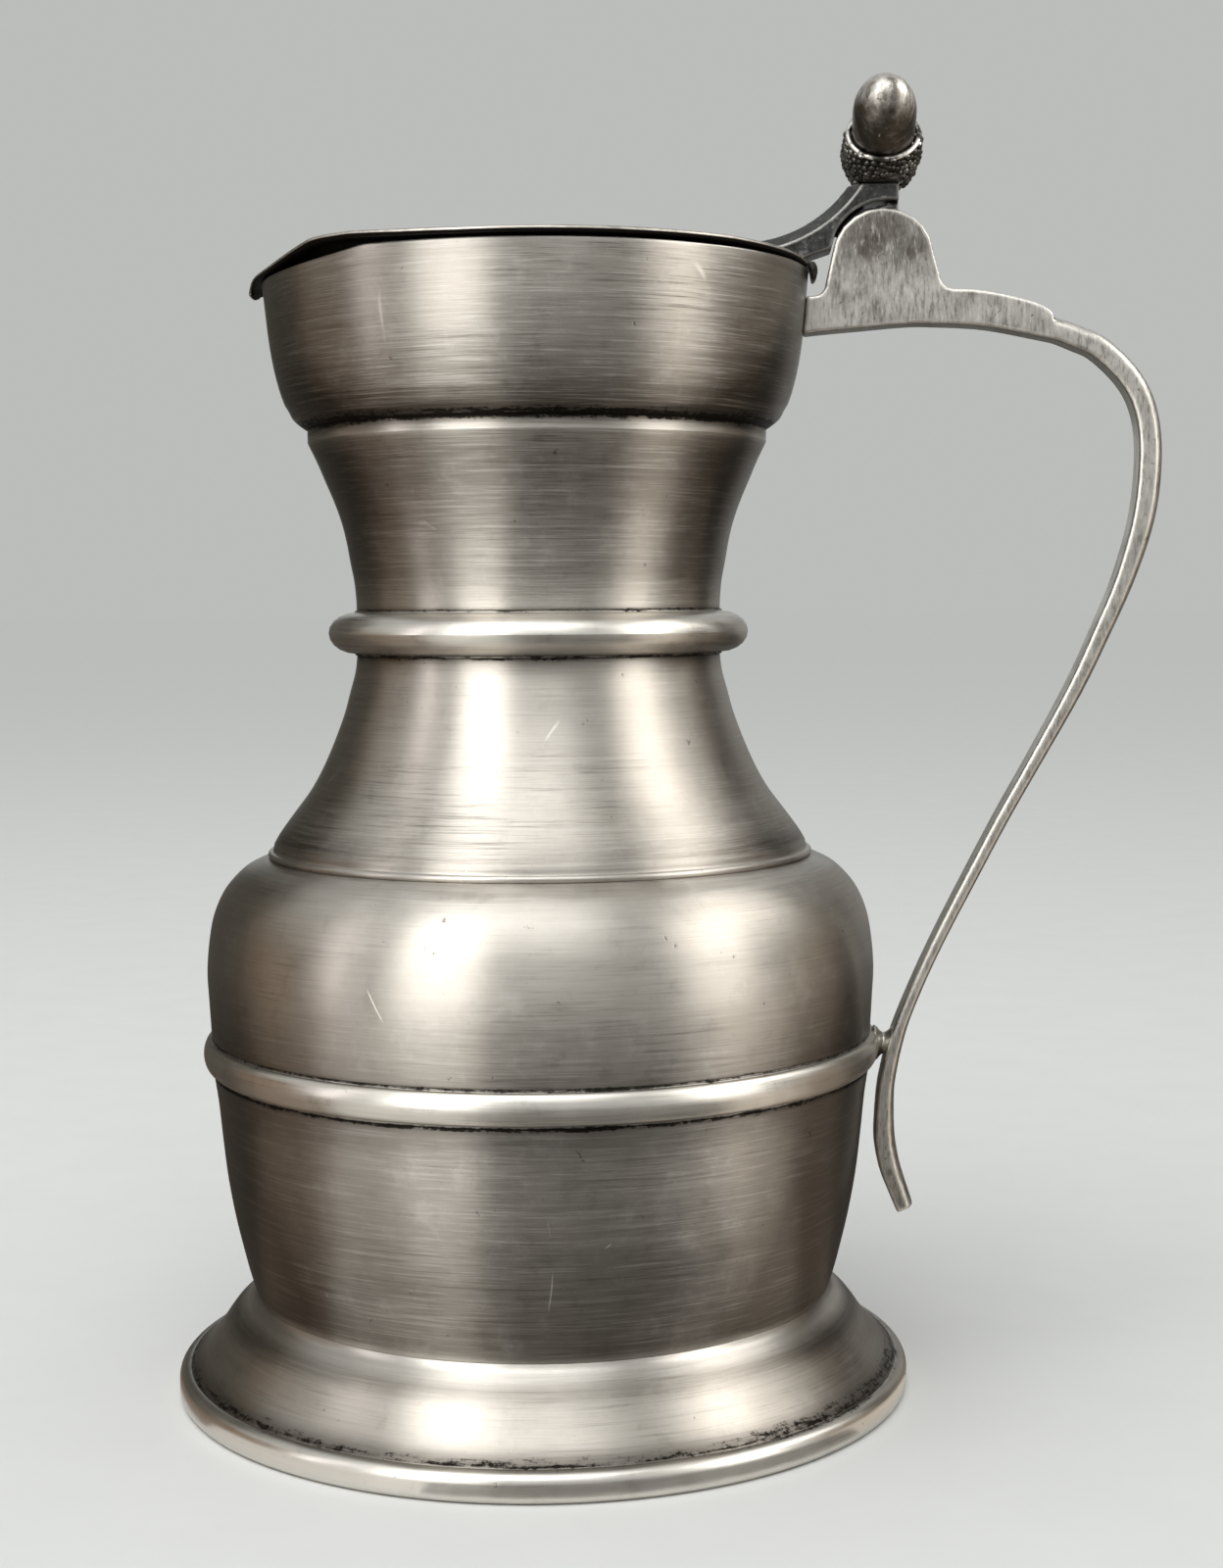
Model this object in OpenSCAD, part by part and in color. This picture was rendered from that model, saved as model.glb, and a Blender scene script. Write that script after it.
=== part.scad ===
// Lidded pewter flagon: turned and cast body of stacked rings, a strap handle that hangs
// free below the belly band, and a heart-shaped lid with a twin-acorn thumbpiece.
// Z is up, the body stands on Z = 0 about the Z axis, the handle is on +X, the spout on -X.

/* [Foot] */
// Largest diameter of the bead that the flagon stands on
foot_d = 149.6; // [130:0.2:170]
// Height of the foot bead
bead_h = 5.8; // [4:0.2:8]
// Radial depth of the foot bead
bead_w = 5.1; // [4:0.1:7]
// Radius of the bead's lower corner
bead_low_r = 1.4; // [0.6:0.1:2]
// Radius of the bead's upper corner
bead_top_r = 2.2; // [1:0.1:2.6]
// Height of the oxidised ledge above the bead
ledge_h = 1.8; // [1:0.1:3]
// Width of that ledge
ledge_w = 2.2; // [1:0.1:3]
// Height of the flared skirt above the ledge
skirt_h = 13; // [9:0.5:18]
// Diameter where the skirt meets the lower drum
waist_d = 117.8; // [105:0.2:125]
// Height of the base disc above the table
base_lift = 7.8; // [7:0.2:10]
// Thickness of the base disc
base_t = 1.8; // [1.2:0.1:3]
// Radial play between the base disc and the skirt it is soldered into
base_play = 0.06; // [0.02:0.01:0.2]

/* [Belly] */
// Height of the lower drum
drum_h = 45.4; // [35:0.2:60]
// Diameter at the top of the lower drum
drum_d = 133.8; // [125:0.2:136]
// Height of the belly band
band_h = 7.2; // [5:0.2:9]
// Distance that the belly band stands out from the wider of the drums beside it
band_stand = 0.95; // [0.5:0.05:2]
// Width of the flat land at each edge of the band
band_land = 0.5; // [0.2:0.1:0.8]
// Height of the shoulder drum
shoulder_h = 35.6; // [28:0.2:45]
// Largest diameter of the shoulder drum
shoulder_d = 135.7; // [134.2:0.1:137]

/* [Neck] */
// Diameter of the step where the shoulder meets the neck cone
step_d = 110.6; // [104:0.2:116]
// Height of the small bead round the foot of the cone
cone_bead_h = 1.4; // [1:0.1:2]
// Height of the incised fillet above that bead
cone_fillet_h = 1.4; // [1:0.1:2]
// Diameter at the foot of the cone
cone_d = 108; // [102:0.2:110]
// Height of the neck cone above its fillet
cone_h = 37.8; // [30:0.2:48]
// Diameter of the neck on both sides of its ring
neck_d = 73.7; // [66:0.1:80]
// Height of the neck ring
ring_h = 9; // [6:0.2:12]
// Distance that the neck ring stands out from the neck
ring_stand = 5.7; // [3.5:0.1:9]
// Width of the flat land at each edge of the neck ring
ring_land = 0.4; // [0.2:0.1:0.8]
// Height of the throat above the neck ring
throat_h = 33.4; // [26:0.2:40]
// Diameter at the top of the throat
throat_d = 92.4; // [86:0.2:98]
// Height of the narrow band under the mouth collar
throat_band_h = 2.6; // [1.6:0.1:4]

/* [Mouth] */
// Height of the mouth collar
collar_h = 30.9; // [24:0.2:40]
// Outer diameter of the mouth
mouth_d = 109.4; // [104:0.1:116]
// Depth of the dip in the lip at the spout
lip_dip = 2.4; // [0.4:0.1:3.2]
// Length of that dip, back from the spout
lip_dip_len = 27; // [16:1:36]
// Wall of the body
wall = 1.8; // [1.4:0.1:2.4]

/* [Lid] */
// Space between the lip and the lid
lid_gap = 0.6; // [0.4:0.1:1.6]
// Thickness of the lid plate
lid_t = 1.1; // [0.8:0.1:1.6]
// Radius of the lid's round part
lid_r = 56.3; // [54:0.1:60]
// Distance that the round part's centre lies towards the spout
lid_shift = 1.9; // [0:0.1:4]
// Reach of the beak beyond the mouth, at the spout
beak_reach = 3.3; // [3:0.1:5]
// Reach of the heart's unbent point beyond the beak
point_reach = 0.8; // [0.4:0.1:3]
// Distance of each flank's centre to the side of the mid-plane
flank_off = 33.4; // [28:0.2:40]
// Length of the lid's part that is bent down towards the spout
bend_len = 25; // [20:1:34]
// Depth of the beak's edge below the lid's top
beak_drop = 5.6; // [5:0.1:8]
// Thickness of the lug behind the lid
lug_t = 1; // [0.8:0.1:1.6]
// Depth of the lug below the lid's underside
lug_drop = 2.3; // [1:0.1:4]

/* [Hinge] */
// Width of the handle, the ears and the thumbpiece
hinge_w = 8.2; // [7:0.1:10]
// Distance of the pin outside the mouth
pin_out = 14.6; // [13.6:0.1:18]
// Height of the pin above the lip
pin_up = 2; // [1:0.1:4]
// Diameter of the hinge pin
pin_d = 2.5; // [2:0.1:3]
// Radial clearance of the pin in the knuckle
pin_clear = 0.05; // [0.02:0.01:0.09]
// Radius of the ears
ear_r = 10.1; // [9:0.1:11]
// Extra half-width of the ears at their foot
ear_flare = 1.2; // [0.4:0.1:2]
// Radius of the hollow at the foot of the ears
ear_fillet_r = 2.4; // [1:0.1:3]
// Width of the knuckle between the ears
knuckle_w = 3; // [2.4:0.1:3.6]
// Radius of the knuckle
knuckle_r = 8.9; // [8:0.1:9.5]
// Clearance between moving pieces
play = 0.35; // [0.3:0.05:0.6]

/* [Thumbpiece] */
// Length of the thumbpiece from its toe to its end
tang_len = 36; // [30:0.5:42]
// Reach of the thumbpiece beyond the pin
tang_over = 3.1; // [2:0.1:4]
// Height of the acorns' seat above the lid
tang_h = 15.2; // [14:0.1:18]
// Space between the ears and the thumbpiece over them
tang_clear = 0.5; // [0.4:0.1:1]
// Extra space over the ears towards the handle
tang_lead = 0.9; // [0.4:0.1:1.2]
// Direction from the hood's centre to its lower end, in degrees
tang_heel_turn = 153; // [145:1:160]
// Height of the heel above the lid, where the thumbpiece leaves the ears
tang_heel = 2.3; // [1:0.1:3]
// Length of the heel's slope down to the lid
tang_lift = 7; // [4:0.5:9]
// Radius of the curve along the thumbpiece's ridge
tang_curve_r = 26; // [22:0.5:28]
// Distance of that curve's centre from the pin towards the spout
tang_curve_back = 27.9; // [26:0.1:30]
// Height of that curve's centre above the pin
tang_curve_up = 30.1; // [29:0.1:32]
// Rise of the ridge over the thumbpiece's edges
tang_ridge = 2.35; // [1:0.05:3]

/* [Acorns] */
// Radius of the acorn nuts
nut_r = 6.2; // [5:0.1:7]
// Length of each nut beyond its cup
nut_len = 13.2; // [11:0.1:18]
// Length of each nut's rounded end
nut_dome = 8; // [6:0.1:10]
// Depth that each nut sinks into its cup
nut_seat = 1; // [0.5:0.1:2]
// Largest radius of the cups
cup_r = 7.8; // [7:0.1:9]
// Radius of the cups' rim
rim_r = 7.4; // [6.8:0.1:8.4]
// Height of the rim above the widest circle
rim_h = 3.1; // [2:0.1:4]
// Depth of the cup below the widest circle
cup_depth = 10; // [8:0.1:12]
// Lean of each acorn away from the upright
acorn_tilt = 52; // [40:1:60]
// Distance of each cup's centre to the side of the mid-plane
acorn_off = 5; // [4:0.1:6]
// Height of the cups' centres above their seat
acorn_up = 7; // [6:0.1:8]

/* [Handle] */
// Distance of the handle root's foot below the lip
root_drop = 13.5; // [11:0.1:16]
// Depth of the handle root at the collar
root_h = 8.4; // [7:0.1:10]
// Rise of the arch under the handle root
root_arch = 2.7; // [1:0.1:4]
// Depth of the root's pad where it ends on the strap
pad_h = 5; // [4.8:0.1:7]
// Horizontal distance of the handle's widest point from its place at the band
handle_spread = 48.8; // [40:0.2:60]
// Space between the belly band and the handle
handle_gap = 2.4; // [1.6:0.1:5]
// Height of the handle's tail above the table
tail_z = 34.9; // [26:0.2:46]
// Thickness of the strap at its upper bend
strap_t = 5; // [4:0.1:5.6]
// Diameter of the peg that ties the strap to the band
strut_d = 4.6; // [3:0.1:6]

/* [Hidden] */
$fn = 144;

// Overrun of every cut
over = 1;
// Steps of the curve between two points of an outline, and of a quarter round
curve_steps = 4;
round_steps = 10;

// Heights of the planes where the stacked rings meet
ledge_z = bead_h;
skirt_z = ledge_z + ledge_h;
drum_z = skirt_z + skirt_h;
band_z = drum_z + drum_h;
shoulder_z = band_z + band_h;
cone_z = shoulder_z + shoulder_h;
cone_curve_z = cone_z + cone_bead_h + cone_fillet_h;
ring_z = cone_curve_z + cone_h;
throat_z = ring_z + ring_h;
throat_band_z = throat_z + throat_h;
collar_z = throat_band_z + throat_band_h;
mouth_z = collar_z + collar_h;
lid_z = mouth_z + lid_gap;
lid_top = lid_z + lid_t;

// Radii of the same rings
foot_r = foot_d / 2;
ledge_r = foot_r - bead_top_r;
waist_r = waist_d / 2;
drum_r = drum_d / 2;
shoulder_r = shoulder_d / 2;
band_r = max(drum_r, shoulder_r) + band_stand;
step_r = step_d / 2;
cone_r = cone_d / 2;
neck_r = neck_d / 2;
ring_r = neck_r + ring_stand;
throat_r = throat_d / 2;
mouth_r = mouth_d / 2;

// Radius of each of the heart's two flanks
flank_share = 2.31;
flank_r = flank_share * lid_r;

// Hinge and thumbpiece
pin_r = pin_d / 2;
pin_x = mouth_r + pin_out;
pin_z = mouth_z + pin_up;
tang_end_x = pin_x + tang_over;
toe_x = tang_end_x - tang_len;
seat_z = lid_top + tang_h;
hood_r = ear_r + tang_clear + tang_lead;
curve_x = pin_x - tang_curve_back;
curve_z = pin_z + tang_curve_up;
slot_w = knuckle_w + 2 * play;
slot_r = knuckle_r + play;

// Acorns
acorn_x = pin_x - play / 2;
acorn_z = seat_z + acorn_up;

// Handle: the inner face at the band, the root's foot and the joint with the strap
handle_x = band_r + handle_gap;
root_z = mouth_z - root_drop;
joint_share = 0.65;
joint_x = handle_x + joint_share * handle_spread;
joint_z = root_z - root_arch / 4;
strut_z = band_z + band_h / 2;

// Outlines, as shares of the ring they belong to: across from the first radius to the
// second, and up from the lower plane to the upper one
skirt_shares = [[0, 0], [0.18, 0.154], [0.34, 0.34], [0.48, 0.52], [0.61, 0.66], [0.79, 0.8],
    [0.94, 0.91], [1, 1]];
drum_shares = [[0, 0], [0.13, 0.075], [0.26, 0.16], [0.5, 0.34], [0.68, 0.52], [0.79, 0.69],
    [0.89, 0.87], [1, 1]];
shoulder_shares = [[0.945, 0], [0.98, 0.213], [1, 0.348], [0.979, 0.483], [0.925, 0.618],
    [0.855, 0.708], [0.739, 0.798], [0.6, 0.865], [0.4, 0.933], [0.22, 0.968], [0, 1]];
cone_shares = [[0, 0], [0.084, 0.063], [0.256, 0.169], [0.43, 0.275], [0.564, 0.381],
    [0.672, 0.487], [0.766, 0.593], [0.849, 0.698], [0.912, 0.804], [0.975, 0.91], [1, 1]];
throat_shares = [[0, 0], [0.005, 0.06], [0.04, 0.17], [0.12, 0.29], [0.195, 0.41], [0.3, 0.53],
    [0.45, 0.65], [0.63, 0.77], [0.81, 0.89], [1, 1]];
collar_shares = [[0, 0], [0.12, 0.02], [0.32, 0.065], [0.425, 0.117], [0.55, 0.181], [0.69, 0.31],
    [0.79, 0.44], [0.86, 0.57], [0.912, 0.7], [0.952, 0.83], [1, 1]];

// Underside of the handle root from the collar to the strap: along, and up the arch
root_shares = [[0, 0], [0.16, 0.44], [0.33, 0.74], [0.49, 1], [0.6, 0.98], [0.73, 0.82],
    [0.82, 0.55], [0.9, 0.2], [1, -0.25]];
// Top of the pad behind the ears: along to the joint, and down to its end
pad_shares = [[0, 0], [0.23, 0.05], [0.46, 0.19], [0.69, 0.4], [0.84, 0.58], [0.93, 0.76],
    [0.98, 0.9], [1, 1]];

// Inner face of the strap from the joint to the tail: out, up, and thickness
strap_shares = [[0.65, 1, 0.94], [0.69, 0.996, 0.95], [0.74, 0.99, 0.96], [0.795, 0.9835, 0.97],
    [0.848, 0.972, 0.98], [0.889, 0.961, 0.98], [0.928, 0.948, 0.98], [0.963, 0.931, 0.98],
    [0.988, 0.9085, 0.98], [0.999, 0.88, 0.99], [0.996, 0.849, 1], [0.984, 0.815, 0.98],
    [0.957, 0.778, 0.92], [0.904, 0.729, 0.82], [0.83, 0.679, 0.76], [0.721, 0.611, 0.69],
    [0.555, 0.524, 0.6], [0.434, 0.463, 0.58], [0.3, 0.391, 0.57], [0.19, 0.33, 0.54],
    [0.105, 0.279, 0.53], [0.031, 0.23, 0.56], [-0.006, 0.2, 0.62], [-0.031, 0.172, 0.65],
    [-0.049, 0.146, 0.7], [-0.059, 0.114, 0.78], [-0.0625, 0.086, 0.86], [-0.051, 0.062, 0.88],
    [-0.035, 0.046, 0.86], [-0.006, 0.026, 0.8], [0.033, 0, 0.72]];
// Width of the strap along the same way, as shares of its full width
strap_width_shares = [[0, 1], [0.6, 1], [0.8, 0.98], [0.93, 0.94], [1, 0.8]];
// Cross-section of the strap: across, and out to the crown
strap_section_shares = [[-0.46, 0], [0.46, 0], [0.5, 0.1], [0.5, 0.66], [0.42, 0.83], [0.23, 0.96],
    [0, 1], [-0.23, 0.96], [-0.42, 0.83], [-0.5, 0.66], [-0.5, 0.1]];

// Top of the lid from its flat part to the beak's edge: along the bend, and down
bend_shares = [[0, 0], [0.16, 0.02], [0.32, 0.14], [0.48, 0.28], [0.64, 0.4], [0.76, 0.455],
    [0.86, 0.48], [0.93, 0.55], [0.975, 0.7], [0.996, 0.87], [1, 1]];

// A point between two others, on a smooth curve through four
function between(a, b, c, d, t) =
    b + t / 2 * ((c - a) + t * ((2 * a - 5 * b + 4 * c - d) + t * (3 * b - a - 3 * c + d)));
// A smooth curve through all points of a list
function smooth(p) = [
    for (i = [0 : len(p) - 2], k = [0 : curve_steps - 1])
        between(p[max(i - 1, 0)], p[i], p[i + 1], p[min(i + 2, len(p) - 1)], k / curve_steps),
    p[len(p) - 1]];
// Places of an outline's shares between two radii and two heights
function placed(shares, r0, r1, z0, z1) =
    [for (s = shares) [r0 + s[0] * (r1 - r0), z0 + s[1] * (z1 - z0)]];
function reversed(p) = [for (i = [len(p) - 1 : -1 : 0]) p[i]];
// Unit normal on the left of a curve at one of its points
function left_of(p, i) =
    let (d = p[min(i + 1, len(p) - 1)] - p[max(i - 1, 0)])
    [-d[1], d[0]] / norm(d);
// The inside of a wall, between its two end planes
function inside(p, t) = [for (i = [1 : len(p) - 2]) [p[i][0], p[i][1]] + t * left_of(p, i)];
function kept(p, low, high) = [for (q = p) if (q[1] > low && q[1] < high) q];
// Points of an ellipse's arc
function arc(x, y, rx, ry, a0, a1) =
    [for (k = [0 : round_steps])
        let (a = a0 + (a1 - a0) * k / round_steps)
        [x + rx * cos(a), y + ry * sin(a)]];

// The body's outer curves, from below
skirt_curve = concat([[ledge_r, ledge_z]],
    smooth(placed(skirt_shares, ledge_r - ledge_w, waist_r, skirt_z, drum_z)));
drum_curve = smooth(placed(drum_shares, waist_r, drum_r, drum_z, band_z));
shoulder_curve = smooth(placed(shoulder_shares, step_r, shoulder_r, shoulder_z, cone_z));
cone_curve = smooth(placed(cone_shares, cone_r, neck_r, cone_curve_z, ring_z));
throat_curve = smooth(placed(throat_shares, neck_r, throat_r, throat_z, throat_band_z));
collar_curve = smooth(placed(collar_shares, throat_r, mouth_r, collar_z, mouth_z));
skirt_inside = inside(skirt_curve, wall);

// The strap's inner face, and its height at a place along it
strap_line = smooth([for (s = strap_shares)
    [handle_x + s[0] * handle_spread, tail_z + s[1] * (joint_z - tail_z), s[2] * strap_t]]);

// A turned wall under an outer curve, with flat faces at both ends
module turned_wall(curve, low_in, high_in) {
    low = curve[0][1];
    high = curve[len(curve) - 1][1];
    rotate_extrude()
        polygon(concat(curve, [[high_in, high]],
            reversed(kept(inside(curve, wall), low + wall / 4, high - wall / 4)),
            [[low_in, low]]));
}

// Everything inside a turned outer curve
module turned_core(curve) {
    rotate_extrude()
        polygon(concat(curve, [[0, curve[len(curve) - 1][1]], [0, curve[0][1]]]));
}

// A shape drawn in the mid-plane and given a width across it
module across(w) {
    rotate([90, 0, 0])
        linear_extrude(height = w, center = true)
            children();
}

// A bar along the hinge's direction
module hinge_bar(r, w) {
    translate([pin_x, 0, pin_z])
        rotate([90, 0, 0])
            cylinder(r = r, h = w, center = true);
}

// The bead that the flagon stands on
module foot_bead() {
    color("lightgray")
        rotate_extrude()
            polygon(concat(
                [[foot_r - bead_w, 0]],
                arc(foot_r - bead_low_r, bead_low_r, bead_low_r, bead_low_r, -90, 0),
                arc(foot_r - bead_top_r, bead_h - bead_top_r, bead_top_r, bead_top_r, 0, 90),
                [[foot_r - bead_w, bead_h]]));
}

// The oxidised ledge and the flare above it
module foot_skirt() {
    color("darkgray")
        rotate_extrude()
            polygon(concat(skirt_curve, [[waist_r - wall, drum_z]],
                reversed(kept(skirt_inside, ledge_z + wall / 4, drum_z - wall / 4)),
                [[foot_r - bead_w, ledge_z]]));
}

// The disc that closes the body inside the foot
module base_disc() {
    edge = [for (q = reversed(skirt_inside)) [-q[1], q[0]]];
    low_r = lookup(-base_lift, edge) - base_play;
    high_r = lookup(-base_lift - base_t, edge) - base_play;
    color("gray")
        translate([0, 0, base_lift])
            cylinder(r1 = low_r, r2 = high_r, h = base_t);
}

// The lower half of the belly
module lower_drum() {
    color("darkgray")
        turned_wall(drum_curve, waist_r - wall, drum_r - wall);
}

// The half-round band over the belly's joint
module belly_band() {
    low_r = drum_r;
    high_r = shoulder_curve[0][0];
    half = band_h / 2 - band_land;
    color("lightgray")
        rotate_extrude()
            polygon(concat(
                [[low_r - wall, band_z], [low_r, band_z], [low_r, band_z + band_land]],
                arc(low_r, band_z + band_h / 2, band_r - low_r, half, -90, 0),
                arc(high_r, band_z + band_h / 2, band_r - high_r, half, 0, 90),
                [[high_r, shoulder_z], [high_r - wall, shoulder_z]]));
}

// The upper half of the belly, rolled in to the step
module shoulder_drum() {
    color("darkgray")
        turned_wall(shoulder_curve, shoulder_curve[0][0] - wall, step_r - 2 * wall);
}

// The cone from the step up to the neck, with its small bead
module neck_cone() {
    bead = cone_bead_h / 2;
    fillet_r = (step_r - bead + cone_r) / 2;
    curve = concat(
        [[step_r - bead, cone_z]],
        arc(step_r - bead, cone_z + bead, bead, bead, -90, 90),
        [[fillet_r, cone_z + cone_bead_h]],
        cone_curve);
    color("darkgray")
        rotate_extrude()
            polygon(concat(curve, [[neck_r - wall, ring_z]],
                reversed(kept(inside(cone_curve, wall), cone_curve_z - wall / 4, ring_z - wall / 4)),
                [[step_r - 2 * wall, cone_z]]));
}

// The round ring where the two halves of the neck meet
module neck_ring() {
    root_r = neck_r + ring_land;
    half = ring_h / 2 - ring_land;
    color("lightgray")
        rotate_extrude()
            polygon(concat(
                [[neck_r - wall, ring_z], [root_r, ring_z]],
                arc(root_r, ring_z + ring_h / 2, ring_r - root_r, half, -90, 90),
                [[root_r, throat_z], [neck_r - wall, throat_z]]));
}

// The flaring throat and the narrow band on it
module throat() {
    curve = concat(throat_curve, [[throat_r, collar_z]]);
    color("darkgray")
        turned_wall(curve, neck_r - wall, throat_r - wall);
}

// The large cylinder that sinks the lip at the spout
module lip_cut() {
    dip_r = (lip_dip_len * lip_dip_len + lip_dip * lip_dip) / (2 * lip_dip);
    translate([-mouth_r, 0, mouth_z - lip_dip + dip_r])
        rotate([90, 0, 0])
            cylinder(r = dip_r, h = mouth_d + 2 * over, center = true, $fn = 360);
}

// The wide collar round the mouth, lower at the spout
module mouth_collar() {
    color("darkgray")
        difference() {
            turned_wall(collar_curve, throat_r - wall, mouth_r - wall);
            lip_cut();
        }
}

// Side outline of the handle root with the two ears on it
module hinge_block_outline() {
    span = joint_x - throat_r;
    root_top = root_z + root_h;
    ear_foot = ear_r + ear_flare;
    ear_turn = 5;
    pad_x = pin_x + ear_foot + ear_fillet_r;
    pad_z = root_top + ear_fillet_r / 2;
    end_z = joint_z + pad_h;
    under = smooth([for (s = root_shares) [throat_r + s[0] * span, root_z + s[1] * root_arch]]);
    pad = smooth([for (s = pad_shares)
        [pad_x + s[0] * (joint_x - pad_x), pad_z - s[1] * (pad_z - end_z)]]);
    polygon(concat(
        under,
        [[joint_x, end_z]],
        reversed(pad),
        arc(pin_x + ear_foot + ear_fillet_r, pad_z + ear_fillet_r, ear_fillet_r, ear_fillet_r, 270, 180),
        arc(pin_x, pin_z, ear_r, ear_r, ear_turn, 180 - ear_turn),
        arc(pin_x - ear_foot - ear_fillet_r, root_top + ear_fillet_r, ear_fillet_r, ear_fillet_r, 0, -90),
        [[throat_r, root_top]]));
}

// The casting soldered to the collar: handle root, pad and two slotted ears
module hinge_block() {
    slot_low = pin_z - ear_r / 3;
    reach = ear_r + ear_flare + play;
    color("silver")
        difference() {
            across(hinge_w)
                hinge_block_outline();
            turned_core(collar_curve);
            hinge_bar(slot_r, slot_w);
            translate([pin_x - reach, -slot_w / 2, slot_low])
                cube([2 * reach, slot_w, ear_r * 2]);
            hinge_bar(pin_r, hinge_w + 2 * over);
        }
}

strap_line_2d = [for (q = strap_line) [q[0], q[1]]];

// One ring of the strap's cross-section at a place along it, upright at the joint
function strap_ring(i) =
    let (
        p = strap_line[i],
        out = i == 0 ? [0, 1] : left_of(strap_line_2d, i),
        w = hinge_w * lookup(i / (len(strap_line) - 1), strap_width_shares)
    )
    [for (s = strap_section_shares)
        [p[0] + out[0] * s[1] * p[2], s[0] * w, p[1] + out[1] * s[1] * p[2]]];

// The strap of the handle, with a flat inner face and a rounded back
module handle_strap() {
    rings = [for (i = [0 : len(strap_line) - 1]) strap_ring(i)];
    sides = len(strap_section_shares);
    points = [for (ring = rings, q = ring) q];
    last = len(rings) - 1;
    faces = concat(
        [[for (k = [0 : sides - 1]) k]],
        [for (i = [0 : last - 1], k = [0 : sides - 1], half = [0, 1])
            let (
                a = i * sides + k,
                b = i * sides + (k + 1) % sides
            )
            half == 0 ? [a, a + sides, b] : [b, a + sides, b + sides]],
        [[for (k = [sides - 1 : -1 : 0]) last * sides + k]]);
    color("silver")
        polyhedron(points = points, faces = faces, convexity = 8);
}

// The short peg between the belly band and the strap
module handle_strut() {
    color("gray")
        difference() {
            translate([band_r - over, 0, strut_z])
                rotate([0, 90, 0])
                    cylinder(d = strut_d, h = handle_gap + 2 * over);
            belly_band_core();
            handle_strap();
        }
}

// The belly band's outside, filled in to the axis
module belly_band_core() {
    half = band_h / 2 - band_land;
    rotate_extrude()
        polygon(concat(
            [[0, band_z], [drum_r, band_z], [drum_r, band_z + band_land]],
            arc(drum_r, band_z + band_h / 2, band_r - drum_r, half, -90, 0),
            arc(shoulder_curve[0][0], band_z + band_h / 2, band_r - shoulder_curve[0][0], half, 0, 90),
            [[shoulder_curve[0][0], shoulder_z], [0, shoulder_z]]));
}

// The pin, driven through both ears
module hinge_pin() {
    color("dimgray")
        hinge_bar(pin_r, hinge_w);
}

// The heart-shaped lid: a plate bent down over the spout, with a lug behind
module lid_plate() {
    tip_x = mouth_r + beak_reach;
    lug_x = mouth_r + play + lug_t;
    flank_x = sqrt(flank_r * flank_r - flank_off * flank_off) - tip_x - point_reach;
    low = lid_top - beak_drop - over;
    tall = beak_drop + 2 * over;
    bend = smooth([for (s = bend_shares)
        [-tip_x + bend_len * (1 - s[0]), lid_top - s[1] * beak_drop]]);
    back_x = lid_r - 2 * lid_shift - lug_t;
    color("silver")
        union() {
            intersection() {
                across(2 * lid_r + 2 * over)
                    polygon(concat(
                        [[lug_x, lid_z], [lug_x, lid_top]],
                        bend,
                        [[-tip_x + lid_t, lid_top - beak_drop]],
                        reversed([for (q = inside(bend, lid_t)) if (q[0] > 2 * lid_t - tip_x) q]),
                        [[bend[0][0], lid_z]]));
                translate([-lid_shift, 0, low])
                    cylinder(r = lid_r, h = tall, $fn = 240);
                for (side = [-1, 1])
                    translate([flank_x, side * flank_off, low])
                        cylinder(r = flank_r, h = tall, $fn = 360);
            }
            translate([back_x, -hinge_w / 2, lid_z])
                cube([lug_x - back_x, hinge_w, lid_t]);
            lid_lug(lug_x);
        }
}

// The lug behind the lid, hollowed so that it swings clear of the lip
module lid_lug(lug_x) {
    intersection() {
        translate([lug_x - 2 * lug_t, -hinge_w / 2, lid_z - lug_drop])
            cube([2 * lug_t, hinge_w, lug_drop + lid_t / 2]);
        hinge_bar(pin_out - play, hinge_w + 2 * over);
    }
}

// Side outline of the thumbpiece: it lies on the lid and arches over the ears
module tang_outline() {
    hood_x = pin_x + tang_lead;
    seat_x = curve_x + sqrt(tang_curve_r * tang_curve_r - (curve_z - seat_z) * (curve_z - seat_z));
    heel_r = ear_r + play;
    heel_z = lid_top + tang_heel;
    heel_x = pin_x - sqrt(heel_r * heel_r - (heel_z - pin_z) * (heel_z - pin_z));
    lift_x = heel_x - tang_lift;
    polygon(concat(
        arc(curve_x, lid_top, curve_x - toe_x, curve_z - tang_curve_r - lid_top, 180, 90),
        [[seat_x, seat_z], [tang_end_x, seat_z]],
        arc(hood_x, pin_z, hood_r, hood_r, acos((tang_end_x - hood_x) / hood_r), tang_heel_turn),
        [[heel_x, heel_z], [lift_x, lid_top]]));
}

// The wheel-shaped hollow that gives the thumbpiece its curved, ridged back
module tang_hollow() {
    edge_r = tang_curve_r + tang_ridge;
    half = hinge_w / 2;
    slant = tang_ridge / half;
    translate([curve_x, 0, curve_z])
        rotate([90, 0, 0])
            rotate_extrude($fn = 240)
                polygon([[0, -half - over], [edge_r + slant * over, -half - over], [tang_curve_r, 0],
                    [edge_r + slant * over, half + over], [0, half + over]]);
}

// The thumbpiece with its knuckle between the ears
module thumbpiece() {
    color("dimgray")
        difference() {
            union() {
                difference() {
                    across(hinge_w)
                        tang_outline();
                    tang_hollow();
                }
                across(knuckle_w)
                    polygon(concat(
                        arc(pin_x, pin_z, knuckle_r, knuckle_r, 180, 360),
                        [[tang_end_x, pin_z + knuckle_r], [tang_end_x, pin_z + hood_r],
                            [pin_x - knuckle_r, pin_z + knuckle_r]]));
            }
            hinge_bar(pin_r + pin_clear, hinge_w + 2 * over);
        }
}

// Places what follows as one of the two acorns, leaning to its side
module leaning(side) {
    translate([acorn_x, side * acorn_off, acorn_z])
        rotate([-side * acorn_tilt, 0, 0])
            children();
}

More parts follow.
